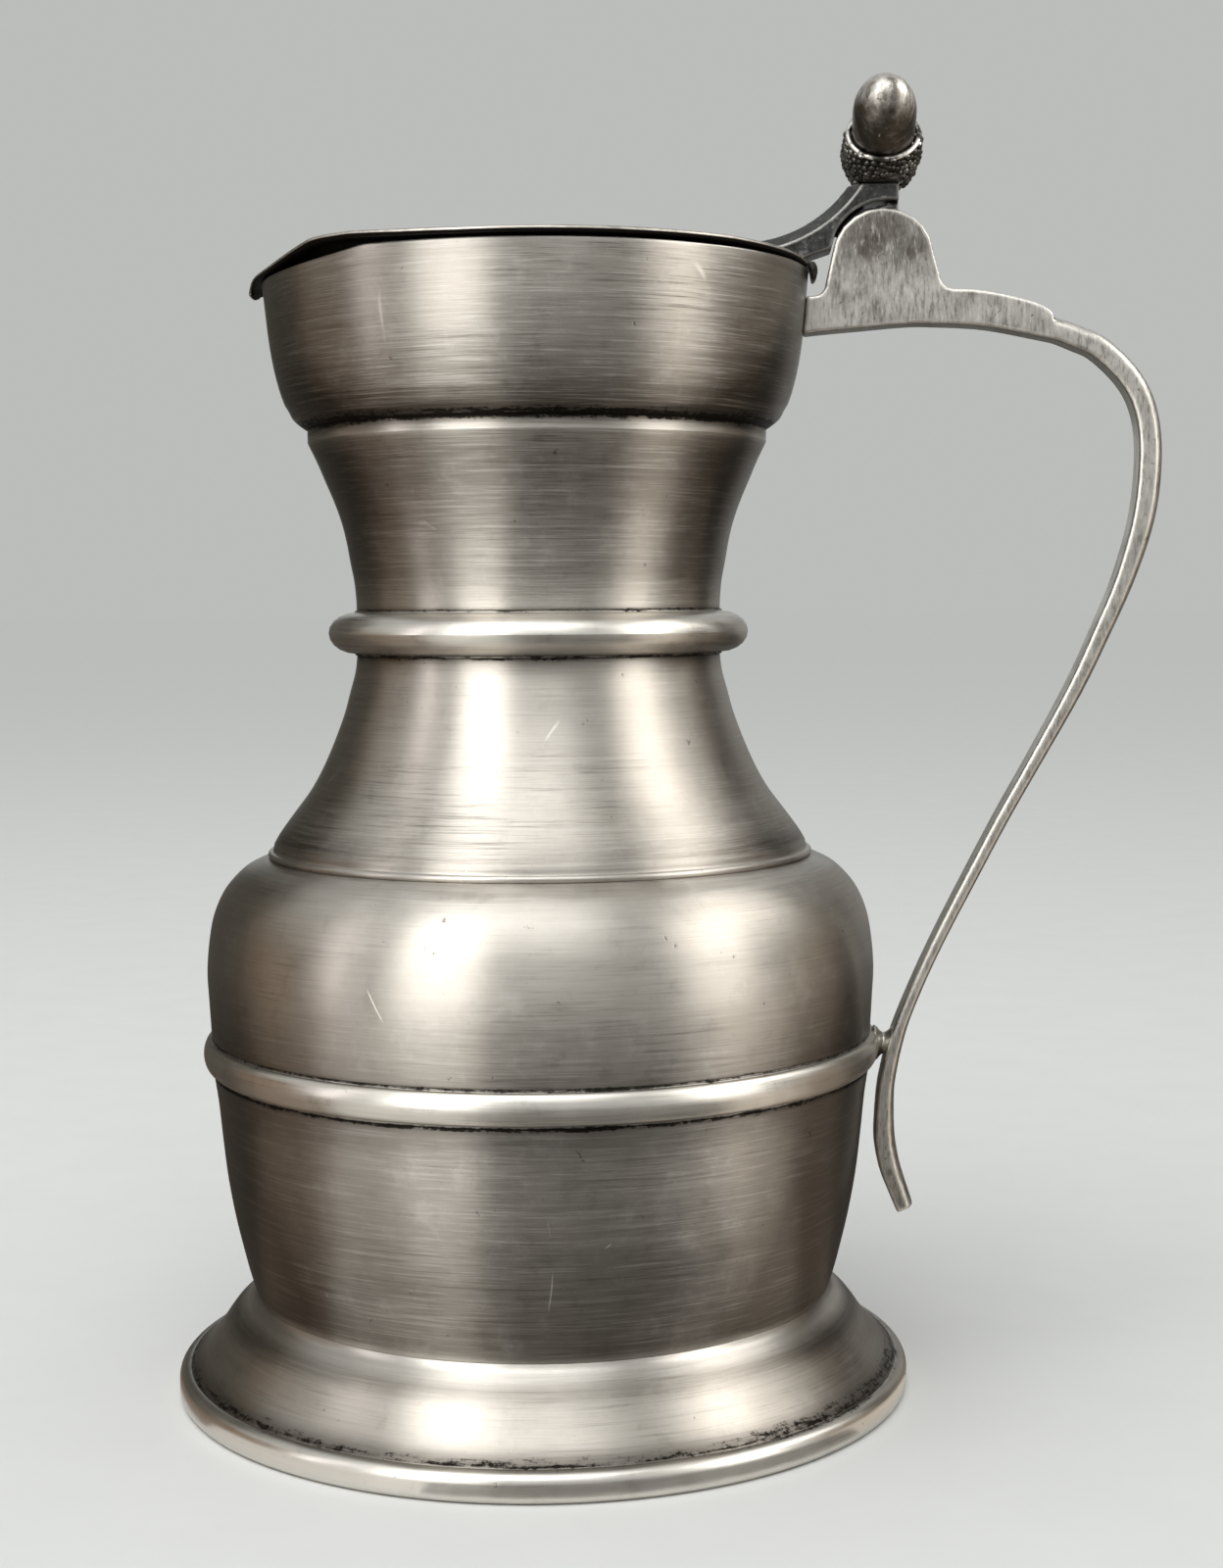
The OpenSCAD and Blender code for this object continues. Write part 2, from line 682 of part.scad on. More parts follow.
// One acorn cup, cut flat where it meets the thumbpiece and the other cup
module acorn_cup(side) {
    block = 2 * (cup_r + cup_depth);
    intersection() {
        leaning(side)
            rotate_extrude()
                polygon(concat(
                    arc(0, 0, cup_r, cup_depth, -90, 0),
                    [[(cup_r + rim_r) / 2 + (cup_r - rim_r) / 4, rim_h / 2], [rim_r, rim_h], [nut_r, rim_h],
                        [nut_r, rim_h - nut_seat], [0, rim_h - nut_seat]]));
        translate([acorn_x - block / 2, side > 0 ? 0 : -block, seat_z])
            cube([block, block, block]);
    }
}

// One acorn nut, seated in its cup
module acorn_nut(side) {
    leaning(side)
        rotate_extrude()
            polygon(concat(
                [[0, rim_h - nut_seat], [nut_r, rim_h - nut_seat]],
                arc(0, rim_h + nut_len - nut_dome, nut_r, nut_dome, 0, 90)));
}

module acorn_cup_front() {
    color("dimgray")
        acorn_cup(-1);
}

module acorn_cup_rear() {
    color("dimgray")
        acorn_cup(1);
}

module acorn_nut_front() {
    color("silver")
        acorn_nut(-1);
}

module acorn_nut_rear() {
    color("silver")
        acorn_nut(1);
}

foot_bead();
foot_skirt();
base_disc();
lower_drum();
belly_band();
shoulder_drum();
neck_cone();
neck_ring();
throat();
mouth_collar();
hinge_block();
handle_strap();
handle_strut();
hinge_pin();
lid_plate();
thumbpiece();
acorn_cup_front();
acorn_cup_rear();
acorn_nut_front();
acorn_nut_rear();
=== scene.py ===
"""Looks of a lidded pewter flagon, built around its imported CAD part.

The turned rings are cut from the CAD solids as outlines and spun again with softened
corners. The castings are softened copies of their solids. The lid is drawn as a sheet
that bends along its own line, and the acorn cups get their scales from Geometry Nodes.
"""
import math

import bmesh
import bpy
from mathutils import Matrix, Vector, noise


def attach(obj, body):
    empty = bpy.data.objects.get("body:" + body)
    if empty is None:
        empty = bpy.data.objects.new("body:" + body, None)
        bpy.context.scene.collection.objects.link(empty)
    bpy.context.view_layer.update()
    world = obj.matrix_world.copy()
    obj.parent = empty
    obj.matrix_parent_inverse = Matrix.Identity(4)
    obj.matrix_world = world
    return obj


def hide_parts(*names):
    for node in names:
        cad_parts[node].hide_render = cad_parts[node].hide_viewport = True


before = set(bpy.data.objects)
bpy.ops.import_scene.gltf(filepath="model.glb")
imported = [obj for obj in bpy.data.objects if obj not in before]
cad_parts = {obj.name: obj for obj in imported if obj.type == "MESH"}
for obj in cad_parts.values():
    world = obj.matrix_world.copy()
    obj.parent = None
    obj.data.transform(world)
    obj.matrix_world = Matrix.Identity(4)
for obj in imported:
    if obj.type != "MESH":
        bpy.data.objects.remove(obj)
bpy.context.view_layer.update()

# The flagon's sizes are in millimetres, as the CAD part has them. Meshes and lights are in metres
MM = 0.001

# The turned body
LIP = 225.3
BODY_RINGS = ["foot_bead", "foot_skirt", "base_disc", "lower_drum", "belly_band",
              "shoulder_drum", "neck_cone", "neck_ring", "throat", "mouth_collar"]
RING_SIDES = 288
LONGEST_STEP = 2.5
ARRIS_R = 0.25
THICK_ARRIS_R = 0.45
THICK_RINGS = ("foot_bead", "mouth_collar")

# Unevenness of the body: waves in a turn, depth, offset, and the height that shifts them by
# one radian; nearer the axis than the least radius it fades out
SWAY = [(2, 0.05, 0.4, 38), (3, 0.035, -1.1, -19), (7, 0.02, 0.0, 7.5)]
SWAY_LEAST_R = 20

# The lip's dip at the spout, and how far down the collar follows it
MOUTH_R = 54.7
LIP_DIP = 2.4
LIP_DIP_LENGTH = 27.0
LIP_DIP_REACH = 10

# The lid and its beak, whose bend is in shares of its length and its drop
LID_TOP = 227.0
LID_THICK = 1.1
LID_ROUND_R = 56.3
LID_SHIFT = 1.9
LID_CROWN = 0.12
LID_CROWN_LENGTH = 23
BEAK_X = -58.0
POINT_REACH = 0.8
FLANK_R = 130.053
FLANK_OFF = 33.4
BEND_LENGTH = 25.0
BEAK_DROP = 5.6
BEND_SHARES = [(0, 0), (0.16, 0.02), (0.32, 0.14), (0.48, 0.28), (0.64, 0.4), (0.76, 0.455),
               (0.86, 0.48), (0.93, 0.55), (0.975, 0.7), (0.996, 0.87), (1, 1)]
BEND_STEPS = 6

# Slight wave of the lid's edge on the near side and the far side: along X, and up
NEAR_WAVE = [(-50, 0.1), (-40, 0.3), (-30, 0.5), (-20, 0.05), (-10, -0.12), (0, -0.04), (10, 0.06),
             (20, 0.16), (30, 0.22), (40, 0.28), (48, 0.12), (56, 0)]
FAR_WAVE = [(-50, 0), (-30, 0.2), (-10, 0.1), (10, -0.05), (30, 0.1), (56, 0)]

# Painted shade under the lid: this much inside, then rising to 1 over its rim, which starts at
# this share of the way out and takes up this much of it
INNER_SHADE = 0.63
RIM_START = 0.9
RIM_SHARE = 0.1

# The hinge and the lug behind the lid: its outline from the side, and its sections across,
# each a share of half the hinge's width and how far the outline is drawn in there
HALF_HINGE = 4.1
PIN = (69.3, 227.3)
PIN_R = 1.25
PIN_SIDES = 40
LUG_LINE = [(51.2, 226.97), (54.9, 226.97), (55.7, 226.86), (56.12, 226.4), (56.36, 225.7),
            (56.42, 225.0), (56.3, 224.3), (56.0, 223.76), (55.62, 223.5), (55.34, 223.62),
            (55.18, 224.1), (55.06, 224.7), (54.95, 225.25), (54.75, 225.7), (54.3, 225.93),
            (51.2, 225.94)]
LUG_MIDDLE = (55.55, 225.2)
LUG_SECTIONS = [(-1, 0.22), (-0.985, 0.08), (-0.95, 0), (0, 0), (0.95, 0), (0.985, 0.08), (1, 0.22)]

# The acorns on the thumbpiece, and their scales
SEAT = 242.2
ACORN = (69.125, 5.0, 249.2)
ACORN_TILT = math.radians(52)
DOME_STEPS = 24
CUP_SIDES = 96
CUP_R = 7.8
CUP_DEPTH = 10.0
CUP_HALF_GAP = 0.02
RIM_R = 7.4
RIM_H = 3.1
SCALE_SIZE = 1.25
SCALE_SPACING = 1.02
SCALE_RANGE = (0.8, 1.25)
SCALE_SHAPE = (1.25, 1.0, 0.85)
SCALE_CLEARANCE = 0.35
SCALES_TOP = 2.2
BARE_FOOT = 0.3
NUT_SIDES = 112
NUT_R = 6.2
NUT_LENGTH = 13.2
NUT_DOME = 8.0
NUT_SEAT = 1.0

# The peg between the belly band and the strap: both ends' X, and its height
PEG = (68.8, 71.2, 69.6)
PEG_R = 2.3
PEG_SIDES = 48

# Fineness of the castings' skins, and rounds of rubbing down
HANDLE_SKIN = (0.3, 14)
THUMBPIECE_SKIN = (0.22, 6)


def smooth_line(points, steps=4):
    """A curve through all the points, with that many steps between two of them."""
    made = []
    for i in range(len(points) - 1):
        a = Vector(points[max(i - 1, 0)])
        b = Vector(points[i])
        c = Vector(points[i + 1])
        d = Vector(points[min(i + 2, len(points) - 1)])
        for k in range(steps):
            t = k / steps
            bend = (2 * a - 5 * b + 4 * c - d) + t * (3 * b - a - 3 * c + d)
            made.append(b + t / 2 * ((c - a) + t * bend))
    made.append(Vector(points[-1]))
    return made


def between(table, x):
    """The value at x in a table of (x, value) rows, on straight lines."""
    if x <= table[0][0]:
        return table[0][1]
    for (x0, y0), (x1, y1) in zip(table, table[1:]):
        if x <= x1:
            return y0 + (y1 - y0) * (x - x0) / (x1 - x0)
    return table[-1][1]


def merged_copy(node):
    """A bmesh of a CAD node's mesh with its loose triangles joined up."""
    bm = bmesh.new()
    bm.from_mesh(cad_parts[node].data)
    bmesh.ops.remove_doubles(bm, verts=bm.verts[:], dist=2e-6)
    return bm


def outline_of(node):
    """The (radius, height) outline of a turned CAD node, and whether it is closed."""
    bm = merged_copy(node)
    for normal, clear in (((1, 0, 0), True), ((0, 1, 0), False)):
        cut = bmesh.ops.bisect_plane(bm, geom=bm.verts[:] + bm.edges[:] + bm.faces[:],
                                     plane_co=(0, 0, 0), plane_no=normal, dist=1e-8,
                                     clear_inner=clear)
    links = {}
    for edge in cut["geom_cut"]:
        if isinstance(edge, bmesh.types.BMEdge):
            a, b = [(round(v.co.x / MM, 4), round(v.co.z / MM, 4)) for v in edge.verts]
            if a != b:
                links.setdefault(a, set()).add(b)
                links.setdefault(b, set()).add(a)
    bm.free()
    ends = sorted(p for p in links if len(links[p]) == 1)
    here = ends[0] if ends else min(links, key=lambda p: (p[1], p[0]))
    walk = [here]
    seen = {here}
    while True:
        onward = sorted(p for p in links[here] if p not in seen)
        if not onward:
            break
        here = onward[-1] if len(walk) == 1 else onward[0]
        walk.append(here)
        seen.add(here)
    return [Vector(p) for p in walk], not ends


def straightened(points, closed, least=0.02, least_bend=0.003):
    """The same outline without points that lie on a straight line or on each other."""
    kept = []
    count = len(points)
    for i, p in enumerate(points):
        if not closed and i in (0, count - 1):
            kept.append(p)
            continue
        a = kept[-1] if kept else points[i - 1]
        b = points[(i + 1) % count]
        into, out = p - a, b - p
        if into.length < least:
            continue
        if abs(into.normalized().cross(out.normalized())) > least_bend or out.length < 1e-9:
            kept.append(p)
    return kept


def softened(points, closed, radius, least_turn=22, most=0.42, steps=4):
    """The outline with its corners rounded to about that radius."""
    made = []
    count = len(points)
    for i, p in enumerate(points):
        if not closed and i in (0, count - 1):
            made.append(p)
            continue
        into = p - points[i - 1]
        out = points[(i + 1) % count] - p
        turn = math.degrees(into.angle(out, 0))
        if turn < least_turn:
            made.append(p)
            continue
        reach = radius * math.tan(math.radians(min(turn, 100)) / 2)
        before = min(reach, most * into.length)
        after = min(reach, most * out.length)
        start = p - into.normalized() * before
        end = p + out.normalized() * after
        for k in range(steps + 1):
            t = k / steps
            made.append(start.lerp(p, t).lerp(p.lerp(end, t), t))
    return made


def divided(points, closed):
    """The outline with its long straights divided, for the slight unevenness on them."""
    made = []
    count = len(points)
    for i, p in enumerate(points):
        made.append(p)
        if not closed and i == count - 1:
            break
        q = points[(i + 1) % count]
        parts = max(1, math.ceil((q - p).length / LONGEST_STEP))
        made.extend(p.lerp(q, k / parts) for k in range(1, parts))
    return made


def placed(name, data):
    """A new object of the scene with that mesh, light or camera."""
    thing = bpy.data.objects.new(name, data)
    bpy.context.scene.collection.objects.link(thing)
    return thing


def as_mesh(name, bm):
    """A mesh from a bmesh, which it uses up."""
    mesh = bpy.data.meshes.new(name)
    bm.to_mesh(mesh)
    bm.free()
    return mesh


def new_piece(name, bm):
    """A finished object from a bmesh in metres, with outward normals and smooth faces."""
    bmesh.ops.recalc_face_normals(bm, faces=bm.faces[:])
    mesh = as_mesh(name, bm)
    mesh.polygons.foreach_set("use_smooth", [True] * len(mesh.polygons))
    return placed(name, mesh)


def finished(piece):
    """The piece with its modifiers worked into its mesh."""
    graph = bpy.context.evaluated_depsgraph_get()
    mesh = bpy.data.meshes.new_from_object(piece.evaluated_get(graph))
    piece.modifiers.clear()
    old = piece.data
    piece.data = mesh
    bpy.data.meshes.remove(old)
    return piece


def skinned(bm, rows):
    """Joins closed rows of points with faces, each row to the next."""
    for a, b in zip(rows, rows[1:]):
        for i in range(len(a)):
            j = (i + 1) % len(a)
            bm.faces.new((a[i], a[j], b[j], b[i]))


def spun(points, closed, sides, place=None, shape=None):
    """A bmesh of an outline in millimetres, spun about Z and then placed.

    The UV map "turning" holds the share of a turn and the length along the outline in
    metres, which the fine lines of the lathe follow.
    """
    bm = bmesh.new()
    turning = bm.loops.layers.uv.new("turning")
    points = [Vector(p) for p in points]
    track = [0.0]
    for a, b in zip(points, points[1:] + points[:1]):
        track.append(track[-1] + (b - a).length * MM)
    columns = []
    poles = {}
    for k in range(sides):
        angle = 2 * math.pi * k / sides
        column = []
        for i, p in enumerate(points):
            if p.x < 1e-6:
                if i not in poles:
                    poles[i] = bm.verts.new((0, 0, p.y * MM))
                column.append(poles[i])
                continue
            co = Vector((p.x * math.cos(angle), p.x * math.sin(angle), p.y))
            if shape:
                co = shape(co)
            column.append(bm.verts.new(co * MM))
        columns.append(column)
    rows = len(points) if closed else len(points) - 1
    for k in range(sides):
        for i in range(rows):
            j = (i + 1) % len(points)
            here, there = columns[k], columns[(k + 1) % sides]
            corners = [(here[i], k, track[i]), (there[i], k + 1, track[i]),
                       (there[j], k + 1, track[i + 1]), (here[j], k, track[i + 1])]
            used = [c for n, c in enumerate(corners) if c[0] not in [u[0] for u in corners[:n]]]
            if len(used) < 3:
                continue
            face = bm.faces.new([u[0] for u in used])
            for loop, (_, turn, along) in zip(face.loops, used):
                loop[turning].uv = (turn / sides, along)
    if place:
        bmesh.ops.transform(bm, matrix=place, verts=bm.verts[:])
    return bm


def sway(co):
    """The point moved by the slight unevenness of a hand-finished body, alike at a seam."""
    angle = math.atan2(co.y, co.x)
    out = sum(depth * math.sin(waves * angle + offset + co.z / rise)
              for waves, depth, offset, rise in SWAY)
    share = 1 + out / max(math.hypot(co.x, co.y), SWAY_LEAST_R)
    return Vector((co.x * share, co.y * share, co.z))


def dipped(co):
    """The collar's shape at its lip, which sinks towards the spout."""
    start = LIP - LIP_DIP_REACH
    if co.z <= start:
        return sway(co)
    radius = (LIP_DIP_LENGTH ** 2 + LIP_DIP ** 2) / (2 * LIP_DIP)
    away = min(abs(co.x + MOUTH_R), radius)
    dip = max(0.0, LIP_DIP - radius + math.sqrt(radius ** 2 - away ** 2))
    share = (co.z - start) / (LIP - start)
    return sway(Vector((co.x, co.y, co.z - dip * share * share)))


def turned_ring(node):
    """One of the body's turned rings, spun from its CAD outline."""
    points, closed = outline_of(node)
    points = straightened(points, closed)
    points = softened(points, closed, THICK_ARRIS_R if node in THICK_RINGS else ARRIS_R)
    points = divided(points, closed)
    shape = dipped if node == "mouth_collar" else sway
    return new_piece("turned_" + node, spun(points, closed, RING_SIDES, shape=shape))


def mark_arrises(piece, spacing, rounds=3):
    """Stores how sharply a skin bends outwards at each point, as the attribute "arris".

    It is about the sum of the two curvatures there, per millimetre, evened out over the
    points beside it, and below 0 in a hollow. The spacing is that of the skin's points.
    """
    mesh = piece.data
    near = [[] for _ in mesh.vertices]
    for edge in mesh.edges:
        a, b = edge.vertices
        near[a].append(b)
        near[b].append(a)
    places = [v.co.copy() for v in mesh.vertices]
    bends = []
    for v in mesh.vertices:
        around = near[v.index]
        mean = sum((places[j] for j in around), Vector()) / len(around)
        bends.append((v.co - mean).dot(v.normal) * 4 * MM / spacing ** 2)
    for _ in range(rounds):
        bends = [(bend + sum(bends[j] for j in around) / len(around)) / 2
                 for bend, around in zip(bends, near)]
    mesh.attributes.new("arris", "FLOAT", "POINT").data.foreach_set("value", bends)


def softened_casting(nodes, name, fineness, rounds):
    """A copy of CAD nodes in one skin, its arrises rounded as a filed casting has them."""
    bm = bmesh.new()
    for node in nodes:
        mesh = as_mesh(node, merged_copy(node))
        bm.from_mesh(mesh)
        bpy.data.meshes.remove(mesh)
    piece = new_piece(name, bm)
    remesh = piece.modifiers.new("skin", "REMESH")
    remesh.mode = "VOXEL"
    spacing = fineness * MM * 1
    remesh.voxel_size = spacing
    remesh.use_smooth_shade = True
    rub = piece.modifiers.new("rub", "SMOOTH")
    rub.factor = 0.5
    rub.iterations = rounds
    finished(piece)
    mark_arrises(piece, spacing)
    return piece


def bend_line():
    """The lid's top line through its middle: rows of length from the bend, and (x, z)."""
    points = [(BEAK_X + BEND_LENGTH * (1 - a), LID_TOP - b * BEAK_DROP) for a, b in BEND_SHARES]
    rows = []
    length = 0.0
    line = smooth_line(points, BEND_STEPS)
    for i, p in enumerate(line):
        if i:
            length += (p - line[i - 1]).length
        rows.append((length, p))
    return rows


BEND = bend_line()
BEND_START = BEAK_X + BEND_LENGTH


def on_sheet(s, y, deep):
    """The place of a point of the flat sheet once the beak is bent: s runs along X."""
    if s >= BEND_START:
        return Vector((s, y, LID_TOP - deep))
    far = min(BEND_START - s, BEND[-1][0])
    for i, ((l0, p0), (l1, p1)) in enumerate(zip(BEND, BEND[1:])):
        if far <= l1:
            share = (far - l0) / (l1 - l0)
            break
    before = BEND[max(i - 1, 0)][1]
    after = BEND[min(i + 2, len(BEND) - 1)][1]
    tangent = (p1 - before).lerp(after - p0, share).normalized()
    down = Vector((-tangent.y, tangent.x))
    if down.y > 0:
        down = -down
    if tangent.x > -0.5:
        down = Vector((abs(tangent.y), tangent.x)).normalized()
    p = p0.lerp(p1, share) + down * deep
    return Vector((max(p.x, BEAK_X + deep), y, p.y))


def lid_outline():
    """The edge of the lid's sheet laid flat, as (s, y) points round its middle."""
    back_steps, flank_steps, nose_steps = 150, 60, 12
    centre_x = math.sqrt(FLANK_R ** 2 - FLANK_OFF ** 2) + BEAK_X - POINT_REACH

    def half_width(x):
        inside = LID_ROUND_R ** 2 - (x + LID_SHIFT) ** 2
        flank = math.sqrt(max(FLANK_R ** 2 - (x - centre_x) ** 2, 0)) - FLANK_OFF
        return min(math.sqrt(max(inside, 0)), flank)

    side = []
    back = LID_ROUND_R - LID_SHIFT
    for k in range(back_steps):
        x = back * math.cos(math.pi / 2 * k / back_steps)
        side.append((x, half_width(x)))
    for k in range(1, flank_steps):
        x = BEND_START * k / flank_steps
        side.append((x, half_width(x)))
    for length, p in BEND[:-BEND_STEPS]:
        side.append((BEND_START - length, half_width(p.x)))
    low = side[-1]
    nose = BEND_START - BEND[-1][0]
    for k in range(1, nose_steps + 1):
        turn = math.pi / 2 * k / nose_steps
        side.append((low[0] + (nose - low[0]) * math.sin(turn), low[1] * math.cos(turn) ** 0.8))
    ring = [Vector(p) for p in side]
    ring += [Vector((p.x, -p.y)) for p in reversed(ring[1:-1])]
    return ring


def lid_sheet():
    """The bent lid plate with its rounded edge.

    The attribute "under" holds the painted shade at each point: 0 above, most at the rim below.
    """
    bm = bmesh.new()
    ring = lid_outline()
    count = len(ring)
    half = LID_THICK / 2
    middle = Vector((-LID_SHIFT, 0))
    inward = []
    for i, p in enumerate(ring):
        along = (ring[(i + 1) % count] - ring[i - 1]).normalized()
        inward.append(Vector((-along.y, along.x)))
    shares = [0.12, 0.25, 0.4, 0.55, 0.7, 0.8, 0.88, 0.93, 0.96, 0.98, 0.99]
    rims = [math.pi * k / 8 for k in range(9)]

    def lifted(s, y, deep, share):
        co = on_sheet(s, y, deep)
        wave = between(NEAR_WAVE if y < 0 else FAR_WAVE, s)
        crown = LID_CROWN * (1 - share ** 2)
        co.z += wave * share ** 3 + crown * math.cos(s / LID_CROWN_LENGTH)
        co.z -= crown
        return bm.verts.new(co * MM)

    def row(share, deep):
        made = []
        for p, way in zip(ring, inward):
            at = middle.lerp(p + way * half, share)
            made.append(lifted(at.x, at.y, deep, share))
        return made

    rows = [row(share, 0.0) for share in shares]
    for turn in rims:
        made = []
        for p, way in zip(ring, inward):
            at = p + way * half * (1 - math.sin(turn))
            made.append(lifted(at.x, at.y, half * (1 - math.cos(turn)), 1.0))
        rows.append(made)
    rows += [row(share, LID_THICK) for share in reversed(shares)]
    skinned(bm, rows)
    for line, deep in ((rows[0], 0.0), (rows[-1], LID_THICK)):
        pole = lifted(middle.x, middle.y, deep, 0.0)
        for i in range(count):
            bm.faces.new((line[i], line[(i + 1) % count], pole))
    piece = new_piece("lid_sheet", bm)
    half_rim = len(rims) // 2
    shades = [0.0] * (len(shares) + half_rim) * count
    shades += [0.5] * count
    shades += [1.0] * half_rim * count
    for share in reversed(shares):
        shades += [INNER_SHADE + (1 - INNER_SHADE) * max(0.0, (share - RIM_START) / RIM_SHARE)] * count
    shades += [0.0, INNER_SHADE]
    piece.data.attributes.new("under", "FLOAT", "POINT").data.foreach_set("value", shades)
    return piece


def lid_lug():
    """The tab that runs out behind the lid and the lug that hangs from it."""
    line = smooth_line(LUG_LINE)
    middle = Vector(LUG_MIDDLE)
    bm = bmesh.new()
    rows = []
    for y, inset in LUG_SECTIONS:
        row = []
        for p in line:
            inward = middle - p
            at = p + inward.normalized() * min(inset, inward.length * 0.3)
            row.append(bm.verts.new(Vector((at.x, y * HALF_HINGE, at.y)) * MM))
        rows.append(row)
    skinned(bm, rows)
    bm.faces.new(rows[0])
    bm.faces.new(rows[-1][::-1])
    bmesh.ops.triangulate(bm, faces=[f for f in bm.faces if len(f.verts) > 4])
    return new_piece("lid_lug", bm)


def leaning(side):
    """The place of the acorn on that side: -1 near, 1 far."""
    place = Matrix.Translation(Vector((ACORN[0], side * ACORN[1], ACORN[2])) * MM)
    return place @ Matrix.Rotation(-side * ACORN_TILT, 4, "X")


def acorn_nut(side, name):
    """One smooth, slightly dented acorn nut."""
    foot = RIM_H - NUT_SEAT
    waist = RIM_H + NUT_LENGTH - NUT_DOME
    points = [(0, foot), (NUT_R - 0.25, foot), (NUT_R - 0.05, foot + 0.3)]
    points += [(NUT_R, foot + (waist - foot) * k / 8) for k in range(1, 8)]
    for k in range(DOME_STEPS + 1):
        turn = math.pi / 2 * k / DOME_STEPS
        points.append((NUT_R * math.cos(turn), waist + NUT_DOME * math.sin(turn)))
    points[-1] = (0, waist + NUT_DOME)

    def dented(co):
        rub = noise.noise(co * 0.16 + Vector((3.1 * side, 7.7, 1.3)))
        pit = noise.noise(co * 0.55 + Vector((9.4, 2.2 * side, 5.1)))
        share = 1 - 0.018 * abs(rub) - 0.012 * max(0, pit)
        return Vector((co.x * share, co.y * share, co.z))

    return new_piece(name, spun(points, False, NUT_SIDES, leaning(side), dented))


def cup_outline():
    """The cup's outline with its rim band, in millimetres."""
    points = [(0, -CUP_DEPTH + 0.45)]
    for k in range(1, DOME_STEPS + 1):
        turn = -math.pi / 2 + math.pi / 2 * k / DOME_STEPS
        points.append(((CUP_R - 0.4) * math.cos(turn), (CUP_DEPTH - 0.45) * math.sin(turn)))
    points += [(CUP_R - 0.42, 0.5), (CUP_R - 0.46, 1.0), (CUP_R - 0.5, 1.6), (CUP_R - 0.5, 2.1),
               (RIM_R + 0.02, 2.35), (RIM_R + 0.05, 2.65), (RIM_R - 0.12, 2.95),
               (RIM_R - 0.45, RIM_H), (RIM_R - 0.8, RIM_H - 0.06), (NUT_R + 0.12, RIM_H - 0.35),
               (NUT_R + 0.02, RIM_H - NUT_SEAT), (0, RIM_H - NUT_SEAT)]
    return points


def scale_tree():
    """The Geometry Nodes that set overlapping scales on an acorn cup."""
    tree = bpy.data.node_groups.new("acorn_scales", "GeometryNodeTree")
    face = tree.interface
    face.new_socket("Geometry", in_out="INPUT", socket_type="NodeSocketGeometry")
    sizes = {}
    for name, kind, value in (("Scale size", "NodeSocketFloat", SCALE_SIZE * MM),
                              ("Least distance", "NodeSocketFloat", SCALE_SPACING * MM),
                              ("Seed", "NodeSocketInt", 11),
                              ("Finish", "NodeSocketMaterial", None)):
        socket = face.new_socket(name, in_out="INPUT", socket_type=kind)
        if value is not None:
            socket.default_value = value
        sizes[name] = socket.identifier
    face.new_socket("Geometry", in_out="OUTPUT", socket_type="NodeSocketGeometry")

    def add(kind, settings=None, inputs=None):
        node = tree.nodes.new(kind)
        for key, value in (settings or {}).items():
            setattr(node, key, value)
        for key, value in (inputs or {}).items():
            for source in value if isinstance(value, list) else [value]:
                if isinstance(source, bpy.types.NodeSocket):
                    tree.links.new(source, node.inputs[key])
                else:
                    node.inputs[key].default_value = source
        return node.outputs

    start = add("NodeGroupInput")
    scaly = add("GeometryNodeInputNamedAttribute", {"data_type": "BOOLEAN"}, {"Name": "scaly"})
    spots = add("GeometryNodeDistributePointsOnFaces", {"distribute_method": "POISSON"},
                {"Mesh": start["Geometry"], "Selection": scaly[0], "Seed": start["Seed"],
                 "Distance Min": start["Least distance"], "Density Max": 3.0e6})
    pebble = add("GeometryNodeMeshIcoSphere", {}, {"Radius": 0.5, "Subdivisions": 2})
    size = add("FunctionNodeRandomValue", {"data_type": "FLOAT"},
               {2: SCALE_RANGE[0], 3: SCALE_RANGE[1], "Seed": start["Seed"]})
    grown = add("ShaderNodeMath", {"operation": "MULTIPLY"}, {0: size[1], 1: start["Scale size"]})
    flat = add("ShaderNodeVectorMath", {"operation": "SCALE"},
               {"Vector": SCALE_SHAPE, "Scale": grown[0]})
    dots = add("GeometryNodeInstanceOnPoints", {},
               {"Points": spots["Points"], "Rotation": spots["Rotation"],
                "Instance": pebble["Mesh"], "Scale": flat[0]})
    real = add("GeometryNodeRealizeInstances", {}, {"Geometry": dots[0]})
    smooth = add("GeometryNodeSetShadeSmooth", {}, {"Geometry": real[0]})
    both = add("GeometryNodeJoinGeometry", {}, {0: [smooth[0], start["Geometry"]]})
    paint = add("GeometryNodeSetMaterial", {}, {"Geometry": both[0], "Material": start["Finish"]})
    add("NodeGroupOutput", {}, {0: paint[0]})
    return tree, sizes


